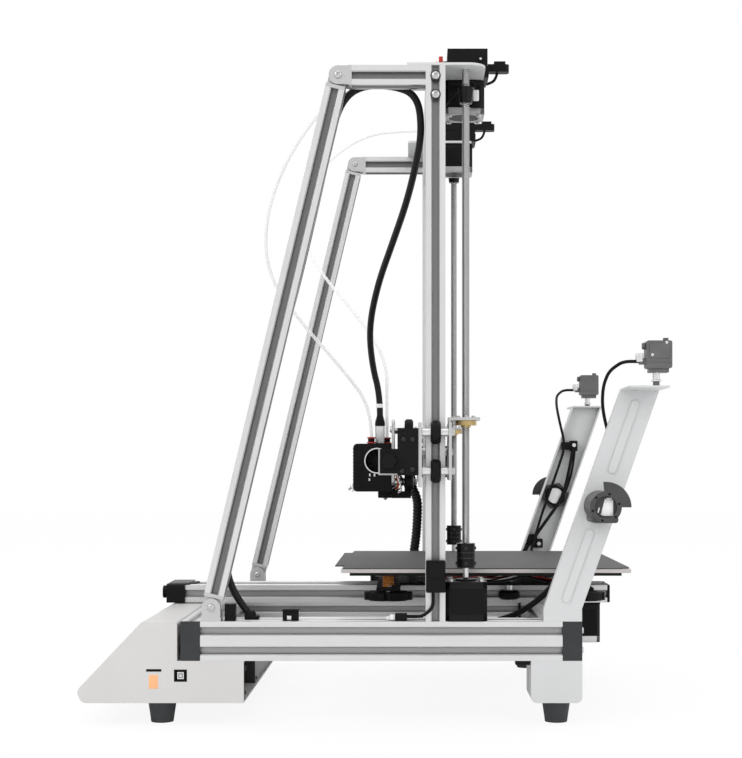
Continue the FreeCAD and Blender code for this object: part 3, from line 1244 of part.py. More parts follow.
SENSOR_CABLE = [
    (285, 266, 367), (285, 250, 367), (267, 239, 359), (242, 236, 345), (220, 238, 323),
    (220.2, 246, 290), (219.4, 232, 248), (220.2, 216, 204), (219.6, 204, 164), (212, 196, 134),
    (194.5, 187, 114), (187.5, 183, 93), (187.5, 183, 66.9),
]
ENDSTOP_CABLE = [(241, 64.5, 136.7), (241, 64.5, 121), (236, 54, 112), (224, 48, 110.5), (224, 38, 110.5)]

node("tube_right", cord("tube_right_cord", sheet.tube_diameter, TUBE_RIGHT))
node("tube_left", cord("tube_left_cord", sheet.tube_diameter, TUBE_LEFT))
node("head_loom", cord("head_loom_cord", sheet.loom_diameter, HEAD_LOOM))
node("gantry_conduit", cord("conduit_cord", sheet.conduit_diameter, CONDUIT))
sensor_cable = cord("sensor_cable_cord", sheet.wire_diameter, SENSOR_CABLE)
endstop_cable = cord("endstop_cable_cord", sheet.wire_diameter, ENDSTOP_CABLE)
node("frame_cables", *both(sensor_cable), endstop_cable)

# ---------------------------------------------------------------- checks and export

doc.recompute()
for made in doc.Objects:
    if "Invalid" in made.State or "Error" in made.State:
        raise RuntimeError("%s is %s" % (made.Label, made.State))
for label, made in nodes.items():
    if made.Shape.isNull() or not made.Shape.isValid():
        raise RuntimeError("%s has no valid shape" % label)

os.makedirs("parts", exist_ok=True)
for label, made in nodes.items():
    made.Shape.exportStep(os.path.join("parts", label + ".step"))
print("%d nodes" % len(nodes))
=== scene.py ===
# %% [markdown]
# # A desktop FDM printer
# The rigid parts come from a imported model, already at their real size. This script gives
# every surface its finish, and adds what is soft, small or repeated: hoses, looms, threads,
# screws, springs, fan guards and wires. All lengths are metres, +Z is up, -Y is the front.

# %% Load the rigid model
from math import cos, degrees, pi, radians, sin

import bmesh
import bpy
from mathutils import Matrix, Vector


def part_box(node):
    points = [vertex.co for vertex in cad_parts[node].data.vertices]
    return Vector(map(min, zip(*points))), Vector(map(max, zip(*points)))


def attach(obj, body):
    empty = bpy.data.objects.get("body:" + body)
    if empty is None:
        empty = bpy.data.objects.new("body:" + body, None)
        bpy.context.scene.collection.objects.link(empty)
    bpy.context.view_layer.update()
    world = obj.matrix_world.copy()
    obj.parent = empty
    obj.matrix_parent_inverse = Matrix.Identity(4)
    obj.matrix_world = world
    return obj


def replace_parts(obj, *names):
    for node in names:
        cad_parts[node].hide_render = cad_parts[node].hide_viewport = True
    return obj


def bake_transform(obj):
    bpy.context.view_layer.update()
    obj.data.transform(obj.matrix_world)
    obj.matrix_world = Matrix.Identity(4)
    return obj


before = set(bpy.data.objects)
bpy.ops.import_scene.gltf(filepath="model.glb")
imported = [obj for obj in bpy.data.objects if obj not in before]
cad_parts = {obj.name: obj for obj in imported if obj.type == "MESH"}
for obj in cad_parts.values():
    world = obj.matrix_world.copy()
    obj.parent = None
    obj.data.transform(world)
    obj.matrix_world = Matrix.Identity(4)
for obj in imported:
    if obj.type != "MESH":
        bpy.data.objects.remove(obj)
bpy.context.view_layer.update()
MM = 0.001
scene = bpy.context.scene

# %% [markdown]
# ## Where we stand
# The printer is seen square from its right side, from far enough away that the far brace
# looks only a fifth smaller than the near one. A 70 mm lens at 1.5 m from the frame does that.
# The lens looks at mid height, and a small shift slides the picture without tipping the uprights.

# %% The camera
LENS, SENSOR, SHIFT = 70.2, 36, (-0.05409, 0.1108)
DISTANCE, EYE_Y, EYE_HEIGHT = 1.5, 43.1 * MM, 267.4 * MM
right_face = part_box("uprights")[1][0]
view = bpy.data.cameras.new("camera")
view.lens, view.sensor_width = LENS, SENSOR
view.shift_x, view.shift_y = SHIFT
camera = bpy.data.objects.new("camera", view)
camera.location = (right_face + DISTANCE, EYE_Y, EYE_HEIGHT)
camera.rotation_euler = (radians(90), 0, radians(90))
scene.collection.objects.link(camera)
scene.camera = camera
scene.view_settings.view_transform = "Standard"

# %% [markdown]
# ## Shader maths as plain expressions
# A node tree is easier to read as arithmetic. `Link` wraps one socket, and `*`, `+` and `-`
# add the Math nodes. `Recipe` makes one material and any other node in one call.

# %% A socket that can be added and multiplied


def operator(name, swapped=False):
    """A Math node as a method, of a socket and of another socket or number."""

    def apply(self, other=0):
        first, second = (other, self) if swapped else (self, other)
        return self.recipe.node("ShaderNodeMath", {"operation": name}, {0: first, 1: second})

    return apply


class Link:
    def __init__(self, recipe, socket):
        self.recipe, self.socket = recipe, socket

    __add__, __sub__, __rsub__ = operator("ADD"), operator("SUBTRACT"), operator("SUBTRACT", True)
    __mul__, __gt__ = operator("MULTIPLY"), operator("GREATER_THAN")
    least, size = operator("MINIMUM"), operator("ABSOLUTE")


class Recipe:
    """One material: its Principled shader's plain values, then whatever varies over the surface."""

    def __init__(self, name, color, roughness, metallic=0.0, **plain):
        self.material = bpy.data.materials.new(name)
        self.material.use_nodes = True
        self.tree = self.material.node_tree
        self.shader = self.tree.nodes["Principled BSDF"]
        self.set(Base_Color=(*color, 1), Roughness=roughness, Metallic=metallic, **plain)

    def node(self, kind, settings=(), inputs=(), output=0):
        made = self.tree.nodes.new(kind)
        for setting, value in dict(settings).items():
            setattr(made, setting, value)
        for socket, value in dict(inputs).items():
            self.feed(made.inputs[socket], value)
        return Link(self, made.outputs[output])

    def feed(self, socket, value):
        if isinstance(value, Link):
            self.tree.links.new(value.socket, socket)
        else:
            socket.default_value = value

    def set(self, **values):
        for socket, value in values.items():
            self.feed(self.shader.inputs[socket.replace("_", " ")], value)
        return self.material

    def place(self, scale=(1, 1, 1), turn=(0, 0, 0)):
        """The point's own coordinates, turned and stretched."""
        point = self.node("ShaderNodeTexCoord", output="Object")
        return self.node("ShaderNodeMapping", {}, {"Vector": point, "Scale": scale, "Rotation": turn})

    def noise(self, scale, detail=2.0, vector=None):
        inputs = {"Vector": vector or self.place(), "Scale": scale, "Detail": detail}
        return self.node("ShaderNodeTexNoise", {}, inputs)

    def axes(self):
        """The point's own X, Y and Z, by name."""
        point = self.node("ShaderNodeTexCoord", output="Object")
        split = self.node("ShaderNodeSeparateXYZ", {}, {"Vector": point})
        return {axis: Link(self, split.socket.node.outputs[i]) for i, axis in enumerate("xyz")}

    def depth_in(self, section):
        """How far the point lies inside a profile's outline, or inside its mirror image at -X."""
        axes, depth = self.axes(), None
        for axis, middle, half in section:
            place = axes[axis].size() if axis == "x" else axes[axis]
            reach = half * MM - (place - middle * MM).size()
            depth = depth.least(reach) if depth else reach
        return depth

    def blend(self, amount, low, high):
        low, high = [color if isinstance(color, Link) else (*color, 1) for color in (low, high)]
        return self.node("ShaderNodeMix", {"data_type": "RGBA"}, {0: amount, 6: low, 7: high}, output=2)

    def tinted(self, amount, color, low, high):
        """One colour that goes from a darker to a lighter shade of itself."""
        return self.blend(amount, *[[c * shade for c in color] for shade in (low, high)])

    def coat(self, color, roughness, height, distance):
        """What a finish ends with: a colour, a roughness and a grain, all of which may vary."""
        return self.set(Base_Color=color, Roughness=roughness, Normal=self.bump(height, distance))

    def bump(self, height, distance):
        inputs = {"Height": height, "Distance": distance, "Normal": self.soft_edges()}
        return self.node("ShaderNodeBump", {}, inputs)

    def soft_edges(self, radius=0.0005):
        """Light catches the edge of every real piece, because none is perfectly sharp."""
        return self.node("ShaderNodeBevel", {"samples": 4}, {"Radius": radius})


def grey(value, warmth=0.0):
    return (value * (1 + warmth), value, value * (1 - warmth))


print("shader helpers ready")

# %% [markdown]
# ## Finishes
# Anodised extrusion has a satin face with faint lines along its length, left by the die. So
# each direction of profile gets its own stretched noise. Powder coat has a fine orange peel.

# %% Anodised aluminium, drawn along one direction
ALONG = {"x": (6, 900, 900), "y": (900, 6, 900), "z": (900, 900, 6)}


def anodised(name, direction, section=(), turn=(0, 0, 0), tone=0.62, shade=0.55):
    """Points inside the profile's own outline, in a slot, get painted shade that stands in for the shadow
    there.
    """
    made = Recipe(name, grey(tone), 0.4, 0.75)
    lines = made.noise(1.0, 3.0, made.place(ALONG[direction], turn))
    cloud = made.noise(22.0)
    color = made.tinted(lines * 0.6 + cloud * 0.4, grey(tone), 0.9, 1.1)
    # Painted shade in the slots: darker the deeper the point lies inside the outline.
    if section:
        reach = {"Value": made.depth_in(section), "From Min": 0.0004, "From Max": 0.0050}
        inside = made.node("ShaderNodeMapRange", {"interpolation_type": "SMOOTHSTEP"}, reach)
        color = made.blend(inside, color, grey(tone * shade))
    return made.coat(color, lines * 0.16 + 0.3, lines, 0.00003)


# %% Powder coat, moulded plastic, rubber


def powder_coat(name, color):
    made = Recipe(name, color, 0.42)
    peel = made.noise(1500.0, 1.0)
    return made.coat(made.tinted(made.noise(14.0), color, 0.94, 1.04), peel * 0.12 + 0.36, peel, 0.00006)


def moulded(name, color, roughness=0.45, grain=2600.0, shine=0.5):
    made = Recipe(name, color, roughness, Specular_IOR_Level=shine)
    spark, wear = made.noise(grain), made.noise(60.0, 4.0)
    return made.coat(made.tinted(wear, color, 0.8, 1.35), wear * 0.2 + (roughness - 0.1), spark, 0.00005)


# %% Turned and ground metal


def turned_metal(name, color, roughness):
    made = Recipe(name, color, roughness, 1.0)
    rings = made.noise(1.0, 2.0, made.place((4, 4, 2500)))
    return made.coat(made.tinted(rings, color, 0.85, 1.08), rings * 0.2 + (roughness - 0.1), rings, 0.00002)


# %% The palette. A profile's outline has a middle and a half width, in mm, along two axes
# The outlines say where a profile's slots get painted shade, and shade says how dark it is.
LEAN = radians(13.4)
BED_RAIL = (("x", 20, 10), ("z", 116.5, 10))
SIDE_RAIL = (("x", 215, 20), ("z", 86.5, 20))
TOP_BEAM = (("y", 67, 10), ("z", 651.5, 20))
X_RAIL = (("y", 39.5, 10), ("z", 276, 20))
UPRIGHT = (("x", 215, 20), ("y", 67, 10))
BRACE = (("x", 225, 10),)
finish = {
    "rail": anodised("anodised_along_y", "y", BED_RAIL),
    "base": anodised("anodised_base", "y", SIDE_RAIL),
    "beam": anodised("anodised_along_x", "x", TOP_BEAM),
    "x_rail": anodised("anodised_x_rail", "x", X_RAIL),
    "post": anodised("anodised_along_z", "z", UPRIGHT, shade=0.36),
    "brace": anodised("anodised_leaning", "z", BRACE, (LEAN, 0, 0), shade=0.3),
    "cast": anodised("cast_aluminium", "z", tone=0.5),
    "plate": anodised("machined_plate", "z", tone=0.5),
    "bright_end": anodised("bright_motor_end", "z"),
    "sheet": powder_coat("light_grey_powder_coat", grey(0.57, -0.008)),
    "box": powder_coat("control_box_powder_coat", grey(0.55, 0.012)),
    "mark": powder_coat("orange_mark", (0.90, 0.42, 0.20)),
    "cast_end": powder_coat("cast_motor_end", grey(0.36)),
    "cap": moulded("dark_grey_caps", grey(0.027, -0.06), 0.5, shine=0.3),
    "dark": moulded("dark_grey_moulding", grey(0.048), shine=0.3),
    "sensor": moulded("grey_sensor_moulding", grey(0.105), shine=0.3),
    "black": moulded("black_moulding", grey(0.006), 0.42, shine=0.1),
    "rubber": moulded("black_rubber", grey(0.038, -0.06), 0.7, 900.0),
    "motor": moulded("black_motor_casting", grey(0.005), 0.38, 1800.0, 0.1),
    "motor_end": moulded("black_cast_motor_end", grey(0.009), 0.4, shine=0.1),
    "glass": moulded("screen_glass", grey(0.006), 0.12, 400.0),
    "spring": moulded("yellow_spring_paint", (0.60, 0.21, 0.03), 0.35),
    "orange": moulded("orange_wire_jacket", (0.62, 0.12, 0.02), 0.4),
    "red": moulded("red_wire_jacket", (0.45, 0.02, 0.015), 0.4),
    "white": moulded("white_plastic", grey(0.72), 0.4),
    "jacket": moulded("black_cable_jacket", grey(0.006), 0.45, 1200.0, 0.2),
    "thread": turned_metal("rolled_steel_thread", grey(0.38), 0.2),
    "dark_steel": turned_metal("blackened_steel", grey(0.06), 0.35),
    "brass": turned_metal("turned_brass", (0.50, 0.37, 0.17), 0.3),
    "silver": turned_metal("turned_aluminium", grey(0.7), 0.3),
    "screw": turned_metal("zinc_plated_screw", grey(0.55), 0.28),
    "black_screw": turned_metal("blackened_screw", grey(0.05), 0.35),
    "satin_black": turned_metal("black_anodised_sleeve", grey(0.02), 0.3),
}
print(len(finish), "finishes")


# %% Print sheet, heated bed and PTFE tube
PLATE_BASE = 149.85 * MM


def print_surface():
    made = Recipe("textured_print_sheet", grey(0.05), 0.6)
    grain = made.noise(1800.0, 3.0)
    color = made.blend(grain * 0.5 + made.noise(9.0, 3.0) * 0.5, grey(0.036), grey(0.075))
    return made.coat(color, grain * 0.3 + 0.45, grain, 0.00008)


def heated_bed():
    """The aluminium plate on top, and the black insulation under it, in one piece of two layers."""
    made = Recipe("heated_bed", grey(0.5), 0.4)
    is_plate = made.axes()["z"] > PLATE_BASE
    grain = made.noise(300.0, 3.0)
    bright = made.blend(grain, (0.46, 0.43, 0.42), (0.60, 0.57, 0.56))
    made.set(Metallic=is_plate * 0.7)
    return made.coat(made.blend(is_plate, grey(0.006), bright), 0.75 - is_plate * 0.35, grain, 0.00004)


def ptfe():
    made = Recipe("ptfe_tube", grey(0.86), 0.3, Alpha=0.55)
    return made.set(Normal=made.soft_edges(0.0001))


finish.update({"print": print_surface(), "bed": heated_bed(), "ptfe": ptfe()})
print(len(finish), "finishes")

# %% [markdown]
# ## Which finish goes where
# The rigid pieces keep their shape. Some hold several solids of one make, so one finish does
# for the whole piece. A piece that the table doesn't name is black plastic.

# %% Dress the rigid pieces
DRESS = {
    "rail": "y_rail", "base": "base_frame", "beam": "top_beam", "x_rail": "x_rail", "post": "uprights",
    "brace": "braces", "cast": "brace_pivots", "sheet": "top_plates spool_arms rear_risers",
    "box": "control_box", "cap": "beam_end_caps", "dark": "spool_hubs", "sensor": "filament_sensors",
    "rubber": "feet x_belt y_belt", "motor": "stepper_motors x_motor", "dark_steel": "power_supply",
    "brass": "lead_nuts", "silver": "x_pulley y_pulley hot_ends", "plate": "gantry_plates head_plate",
    "bed": "heated_bed", "satin_black": "screw_fittings_right screw_fittings_left",
    "print": "print_sheet", "glass": "touch_screen",
}
coats = {node: coat for coat, nodes in DRESS.items() for node in nodes.split()}
for node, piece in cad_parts.items():
    piece.data.materials.clear()
    piece.data.materials.append(finish[coats.get(node, "black")])
print(len(coats), "rigid pieces dressed, and the rest are black")

# %% [markdown]
# ## Cords
# Two PTFE tubes and a loom reach from the frame to the print head. Each is cut in two: the upper
# part runs from the frame to the gantry, and the lower part from the gantry to the head. What is tied
# to the frame is a third part. The ribbed conduit is one part, from the frame to the gantry. Each
# part is a tube skinned along a smooth spline through a few given points.

# %% A tube along a smooth line
SHARP = radians(38)


def smooth_line(points, resolution):
    """The points that a smooth spline visits, with the given ones as its control points."""
    data = bpy.data.curves.new("route", "CURVE")
    data.dimensions, data.resolution_u = "3D", resolution
    spline = data.splines.new("NURBS")
    spline.points.add(len(points) - 1)
    for point, place in zip(spline.points, points):
        point.co = (*place, 1)
    spline.order_u, spline.use_endpoint_u = 3, True
    holder = bpy.data.objects.new("route", data)
    mesh = bpy.data.meshes.new_from_object(holder)
    line = [v.co.copy() for v in mesh.vertices]
    bpy.data.objects.remove(holder)
    bpy.data.meshes.remove(mesh)
    return line


def add_object(name, mesh, material=None):
    piece = bpy.data.objects.new(name, mesh)
    scene.collection.objects.link(piece)
    if material:
        mesh.materials.append(material)
    return piece


def circle(sides):
    return [2 * pi * k / sides for k in range(sides)]


def stack(shape, rings):
    """Joins rings of points, each to the next, and closes both ends."""
    for low, high in zip(rings, rings[1:]):
        for k in range(len(low)):
            after = (k + 1) % len(low)
            shape.faces.new((low[k], low[after], high[after], high[k]))
    shape.faces.new(reversed(rings[0]))
    shape.faces.new(rings[-1])


def skin(shape, line, width, sides):
    """Adds a closed tube along a line. The width is its radius as a function of the distance along it."""
    last = len(line) - 1
    tangents = [(line[min(i + 1, last)] - line[max(i - 1, 0)]).normalized() for i in range(len(line))]
    side = tangents[0].orthogonal().normalized()
    distance, rings = 0.0, []
    for i, (point, tangent) in enumerate(zip(line, tangents)):
        if i:
            distance += (point - line[i - 1]).length
            side = (side - tangent * side.dot(tangent)).normalized()
        other = tangent.cross(side)
        spokes = [side * cos(turn) + other * sin(turn) for turn in circle(sides)]
        rings.append([shape.verts.new(point + spoke * width(distance)) for spoke in spokes])
    stack(shape, rings)


def smoothed(mesh):
    """Faces look smooth, save where they meet at a real edge."""
    mesh.shade_smooth()
    mesh.set_sharp_from_angle(angle=SHARP)
    return mesh


def finished(name, shape, material=None):
    mesh = bpy.data.meshes.new(name)
    shape.to_mesh(mesh)
    shape.free()
    return add_object(name, smoothed(mesh), material)


def length_of(line):
    return sum((b - a).length for a, b in zip(line, line[1:]))


# %% Where the cords run: diameter in mm, finish, share of the length that is tied to the frame, points
CORDS = {
    "tube_right": (4, "ptfe", 0, [
        (155, 71.55, 692.3), (155, 34, 692.3), (145, -16, 683), (127, -59, 649), (107, -97, 599),
        (87, -121, 540), (63, -121, 480), (38, -83, 427), (12, -39, 378), (-12.5, -5, 334), (-12.5, -5, 298),
    ]),
    "tube_left": (4, "ptfe", 0, [
        (-155, 71.55, 692.3), (-155, 32, 692.3), (-148, -17, 685), (-133, -61, 652), (-113, -94, 604),
        (-92, -96, 547), (-73, -63, 492), (-56, -18, 440), (-42, 13, 390), (-37.5, 13, 338), (-37.5, 13, 298),
    ]),
    "head_loom": (7.5, "jacket", 0.595, [
        (212, -124, 111.5), (210, -142, 132), (208.5, -151, 170), (208, -143, 226), (208.3, -126, 280),
        (208.5, -109, 334), (208.5, -93, 388), (208.5, -78, 442), (208.5, -65, 496), (208.5, -53, 548),
        (208.3, -42, 598), (207.5, -32, 638), (206.5, -12, 657.5), (205.5, 24, 658), (204, 49, 648),
        (200, 53.5, 612), (178, 47, 580), (143, 37, 547), (100, 22, 512), (55, 4, 470), (15, -7, 425),
        (-14, -4, 383), (-25, 5, 348), (-25, 5, 321.5),
    ]),
    "gantry_conduit": (12.7, "jacket", 0, [
        (-224, 32.5, 106.9), (-224, 42.5, 130), (-219, 48.5, 168), (-214.5, 50.4, 198), (-214.5, 50.4, 221),
        (-214.5, 41.5, 238), (-214.5, 41.5, 255.7),
    ]),
}

# %% Make each part
RIB_PITCH, RIB_DEPTH = 4.4 * MM, 0.9 * MM


def cut_line(line, shares):
    """Cuts a line where it has run the given shares of its length. The cuts share their end point."""
    total, walked, starts = length_of(line), 0.0, [0]
    for i in range(1, len(line)):
        walked += (line[i] - line[i - 1]).length
        if len(starts) <= len(shares) and walked >= total * shares[len(starts) - 1]:
            starts.append(i)
    return [line[a:b + 1] for a, b in zip(starts, starts[1:] + [len(line) - 1])]


def rib(run):
    """The conduit is corrugated, so its radius dips with the distance along it."""
    return RIB_DEPTH * (0.5 - 0.5 * cos(2 * pi * run / RIB_PITCH))


for name, (diameter, coat, tied, route) in CORDS.items():
    ribbed = name == "gantry_conduit"
    line = smooth_line([Vector(p) * MM for p in route], 60 if ribbed else 12)
    shares = [] if ribbed else [tied, (1 + tied) / 2] if tied else [0.5]
    spans = [("upper", "frame", "z_gantry"), ("lower", "z_gantry", "print_head")]
    if tied:
        spans.insert(0, ("riser", "frame", "frame"))
    for stretch, (part, start_body, end_body) in zip(cut_line(line, shares), spans):
        tube = bmesh.new()
        skin(tube, stretch, lambda run: diameter * MM / 2 - (rib(run) if ribbed else 0), 16)
        piece = finished("%s_%s" % (name, part), tube, finish[coat])
        if start_body == end_body:
            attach(piece, start_body)
        else:
            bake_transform(piece)
        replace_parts(piece, name)
    print(name, "%.3f m" % length_of(line))

# %% [markdown]
# ## Small parts
# Screws, threads, springs, plugs and wires are small, so they are built here. `Solids` gathers
# boxes, lathe-turned shapes and wires, all given in millimetres, into one mesh for each finish.

# %% Boxes, turned shapes and wires
QUARTERS = {"z": (0, "X"), "-z": (2, "X"), "x": (1, "Y"), "-x": (-1, "Y"), "y": (-1, "X"), "-y": (1, "X")}
FACING = {way: Matrix.Rotation(turns * pi / 2, 4, axis) for way, (turns, axis) in QUARTERS.items()}


class Solids:
    def __init__(self):
        self.shape = bmesh.new()

    def take(self, part, matrix=Matrix()):
        """Moves one closed shape into place and adds it."""
        part.transform(matrix)
        mesh = bpy.data.meshes.new("part")
        part.to_mesh(mesh)
        part.free()
        self.shape.from_mesh(mesh)
        bpy.data.meshes.remove(mesh)
        return self

    def eased(self, part, soft, matrix=Matrix()):
        """Rounds every edge of a shape a little, then adds it."""
        bmesh.ops.bevel(part, geom=part.edges[:], offset=soft, segments=2, affect="EDGES", profile=0.5)
        return self.take(part, matrix)

    def box(self, low, high, soft=0.4, matrix=Matrix()):
        part = bmesh.new()
        bmesh.ops.create_cube(part, size=1)
        for vertex in part.verts:
            vertex.co = Vector([l + (h - l) * (c + 0.5) for c, l, h in zip(vertex.co, low, high)])
        return self.eased(part, soft, matrix)

    def turned(self, outline, at, facing="z", sides=24, hexed=()):
        """A lathe-turned shape from (radius, height) pairs. Hexed pairs make a six-sided ring."""
        part, rings = bmesh.new(), []
        for number, (radius, height) in enumerate(outline):
            if radius < 1e-6:
                rings.append([part.verts.new((0, 0, height))] * sides)
                continue
            ring = []
            for turn in circle(sides):
                lap = cos((turn % (pi / 3)) - pi / 6)
                reach = radius * (cos(pi / 6) / lap if number in hexed else 1)
                ring.append(part.verts.new((reach * cos(turn), reach * sin(turn), height)))
            rings.append(ring)
        for low, high in zip(rings, rings[1:]):
            for k in range(sides):
                corners = dict.fromkeys([low[k], low[(k + 1) % sides], high[(k + 1) % sides], high[k]])
                if len(corners) > 2:
                    part.faces.new(list(corners))
        bmesh.ops.recalc_face_normals(part, faces=part.faces[:])
        return self.take(part, Matrix.Translation(at) @ FACING[facing])

    def wire(self, points, diameter, sides=10, resolution=6):
        part = bmesh.new()
        skin(part, smooth_line(points, resolution), lambda distance: diameter / 2, sides)
        return self.take(part)

    def both(self):
        """Adds the mirror image on the printer's left side."""
        copy = self.shape.copy()
        copy.transform(Matrix.Scale(-1, 4, Vector((1, 0, 0))))
        bmesh.ops.reverse_faces(copy, faces=copy.faces[:])
        return self.take(copy)

    def done(self, name, coat, body="frame", slot=None):
        """Makes the piece. The slot argument is not used."""
        self.shape.transform(Matrix.Scale(MM, 4))
        piece = finished(name, self.shape, finish[coat])
        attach(piece, body)
        return piece


def disc(radius, height, soft=0.4, low=0.0):
    """A plain turned disc's outline, with both of its rims eased."""
    rim = [(radius - soft, low), (radius, low + soft), (radius, height - soft), (radius - soft, height)]
    return [(0, low), *rim, (0, height)]


print("solids ready")

# %% [markdown]
# ### What repeats
# One node group puts copies of a master piece on points, each turned and sized by the point's
# own attributes. Another draws a coil.

# %% Node groups: copies on points, and a coil


def new_group(name, sockets):
    """A new group, and its inputs as sockets to take from, by name."""
    group = bpy.data.node_groups.new(name, "GeometryNodeTree")
    for label, kind in sockets.items():
        group.interface.new_socket(label, in_out="INPUT", socket_type="NodeSocket" + kind)
    group.interface.new_socket("Geometry", in_out="OUTPUT", socket_type="NodeSocketGeometry")
    entry = group.nodes.new("NodeGroupInput")
    return group, {label: entry.outputs[label] for label in sockets}


def wire_up(group, kind, settings=(), output=0, **feeds):
    """Adds a node and gives one of its outputs. A feed is such an output, or a plain value."""
    made = group.nodes.new(kind)
    for setting, value in dict(settings).items():
        setattr(made, setting, value)
    for socket, value in feeds.items():
        target = made.inputs[socket.replace("_", " ")]
        if isinstance(value, bpy.types.NodeSocket):
            group.links.new(value, target)
        else:
            target.default_value = value
    return made.outputs[output] if made.outputs else None


def close_group(group, shape, coat):
    coated = wire_up(group, "GeometryNodeSetMaterial", Geometry=shape, Material=coat)
    wire_up(group, "NodeGroupOutput", Geometry=coated)


kinds = {"Geometry": "Geometry", "Piece": "Object", "Finish": "Material"}
copies, given = new_group("Copies on points", kinds)
source = wire_up(copies, "GeometryNodeObjectInfo", output="Geometry", Object=given["Piece"])
turn_read, size_read = [
    wire_up(copies, "GeometryNodeInputNamedAttribute", {"data_type": "FLOAT_VECTOR"}, "Attribute", Name=name)
    for name in ("turn", "size")
]
turn_made = wire_up(copies, "FunctionNodeEulerToRotation", Euler=turn_read)
laid = wire_up(copies, "GeometryNodeInstanceOnPoints", Points=given["Geometry"], Instance=source,
               Rotation=turn_made, Scale=size_read)
close_group(copies, wire_up(copies, "GeometryNodeRealizeInstances", Geometry=laid), given["Finish"])

kinds = {"Turns": "Float", "Radius": "Float", "Height": "Float", "Wire": "Float", "Finish": "Material"}
coil, given = new_group("Coil", kinds)
helix = wire_up(coil, "GeometryNodeCurveSpiral", Resolution=28, Rotations=given["Turns"],
                Start_Radius=given["Radius"], End_Radius=given["Radius"], Height=given["Height"])
section = wire_up(coil, "GeometryNodeCurvePrimitiveCircle", Resolution=10, Radius=given["Wire"])
swept = wire_up(coil, "GeometryNodeCurveToMesh", Curve=helix, Profile_Curve=section, Fill_Caps=True)
close_group(coil, swept, given["Finish"])


def grown(name, places, group, **values):
    """Runs a node group on points and keeps the plain mesh that comes out."""
    start = bpy.data.meshes.new(name + "_start")
    start.from_pydata([Vector(place) * MM for place in places], [], [])
    for label in ("turn", "size"):
        slots = start.attributes.new(label, "FLOAT_VECTOR", "POINT").data
        for place, vector in zip(slots, values.pop(label, ())):
            place.vector = vector
    holder = add_object(name + "_holder", start)
    modifier = holder.modifiers.new("grow", "NODES")
    modifier.node_group = group
    for label, value in values.items():
        modifier[group.interface.items_tree[label].identifier] = value
    holder.update_tag()
    depsgraph = bpy.context.evaluated_depsgraph_get()
    mesh = bpy.data.meshes.new_from_object(holder.evaluated_get(depsgraph))
    bpy.data.objects.remove(holder)
    mesh.name = name
    return mesh


def set_aside(piece):
    """A master only serves to be copied, so it isn't in the scene itself."""
    scene.collection.objects.unlink(piece)
    return piece


def master(name, solids):
    solids.shape.transform(Matrix.Scale(MM, 4))
    return set_aside(finished(name, solids.shape))


def turned_master(name, outline, hexed=(1, 2)):
    return master(name, Solids().turned(outline, (0, 0, 0), hexed=hexed))


def spring(name, turns, radius, height, wire, coat):
    sizes = {"Radius": radius * MM, "Height": height * MM, "Wire": wire * MM}
    mesh = grown(name, [(0, 0, 0)], coil, Turns=turns, Finish=finish[coat], **sizes)
    return set_aside(add_object(name, mesh))


def laid_out(name, piece, spots, body="frame", coat="screw"):
    """Copies of a master piece. Each spot is a place in millimetres, the way it faces and its size."""
    places, facings, sizes = zip(*spots)
    turns = [FACING[facing].to_euler() for facing in facings]
    sizes = [(size, size, size) for size in sizes]
    made = grown(name, places, copies, turn=turns, size=sizes, Piece=piece, Finish=finish[coat])
    result = add_object(name, smoothed(made))
    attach(result, body)
    return result


def mirrored(spots):
    """The same spots on both sides of the printer, facing the mirrored way."""
    flip = {"x": "-x", "-x": "x"}
    return spots + [((-x, y, z), flip.get(facing, facing), size) for (x, y, z), facing, size in spots]


def level(height, facing, size, places):
    """Spots at one height along the axis they face. Each place has its other two coordinates."""
    axis = "xyz".index(facing[-1])
    return [((*place[:axis], height, *place[axis:]), facing, size) for place in places]


def corners(middle, wide, deep):
    """A rectangle's four corners, from its middle, its half width and its half depth."""
    return [(middle[0] + u * wide, middle[1] + v * deep) for u in (-1, 1) for v in (-1, 1)]


print("node groups ready")

# %% [markdown]
# ### Screws
# Every joint of the frame is held by button-head screws with a hexagon socket, 8.5 mm across.

# %% Screw heads, a nut and a washer
BUTTON = [(0, 0.9), (2, 0.9), (2.35, 2.6), (3, 2.45), (3.9, 1.6), (4.25, 0.5), (4.25, 0), (0, 0)]
CAP = [(0, 1.6), (2.2, 1.6), (2.3, 4), (3.9, 4), (4.25, 3.6), (4.25, 0), (0, 0)]
NUT = [(2.4, 0), (4.6, 0), (4.6, 3.4), (3.2, 4), (2.4, 4), (2.4, 0)]
WASHER = [(2.2, 0), (4.8, 0), (5, 0.2), (5, 0.8), (4.8, 1), (2.2, 1), (2.2, 0)]
button_head = turned_master("button_head", BUTTON)
cap_head = turned_master("cap_head", CAP)
hexagon_nut = turned_master("hexagon_nut", NUT)
washer = turned_master("washer", WASHER, ())
print("screw heads ready")

# %% Where the screws and nuts sit
PIVOTS = ((-161, 120.5), (-32.1, 661.5))
BED_MIDDLE = (0, 122.3)
WHEEL_SPOTS = [(245.75, 298.3), (245.75, 259.2), (184.25, 278.75)]
HEAD_SPOTS = [(x, z) for x in (-55, 5) for z in (306.75, 245.25)]
BED_SPOTS = corners(BED_MIDDLE, 40.75, 32)
UPRIGHTS = ((67, 660.6), (67, 641.5))
frame_screws = level(235.4, "x", 1, UPRIGHTS) + level(235, "x", 0.95, PIVOTS)
frame_screws += level(674, "z", 0.8, [(x, 67) for x in (205, 225, 142, 168)])
laid_out("frame_screws", button_head, mirrored(frame_screws))
laid_out("bolt_washers", washer, mirrored(level(234.6, "x", 1.06, UPRIGHTS)), "frame", "black_screw")
laid_out("frame_nuts", button_head, mirrored(level(215, "-x", 0.8, PIVOTS)))
low_screws = level(216, "y", 0.9, [(x, z) for x in (205, 225) for z in (76.5, 96.5)])
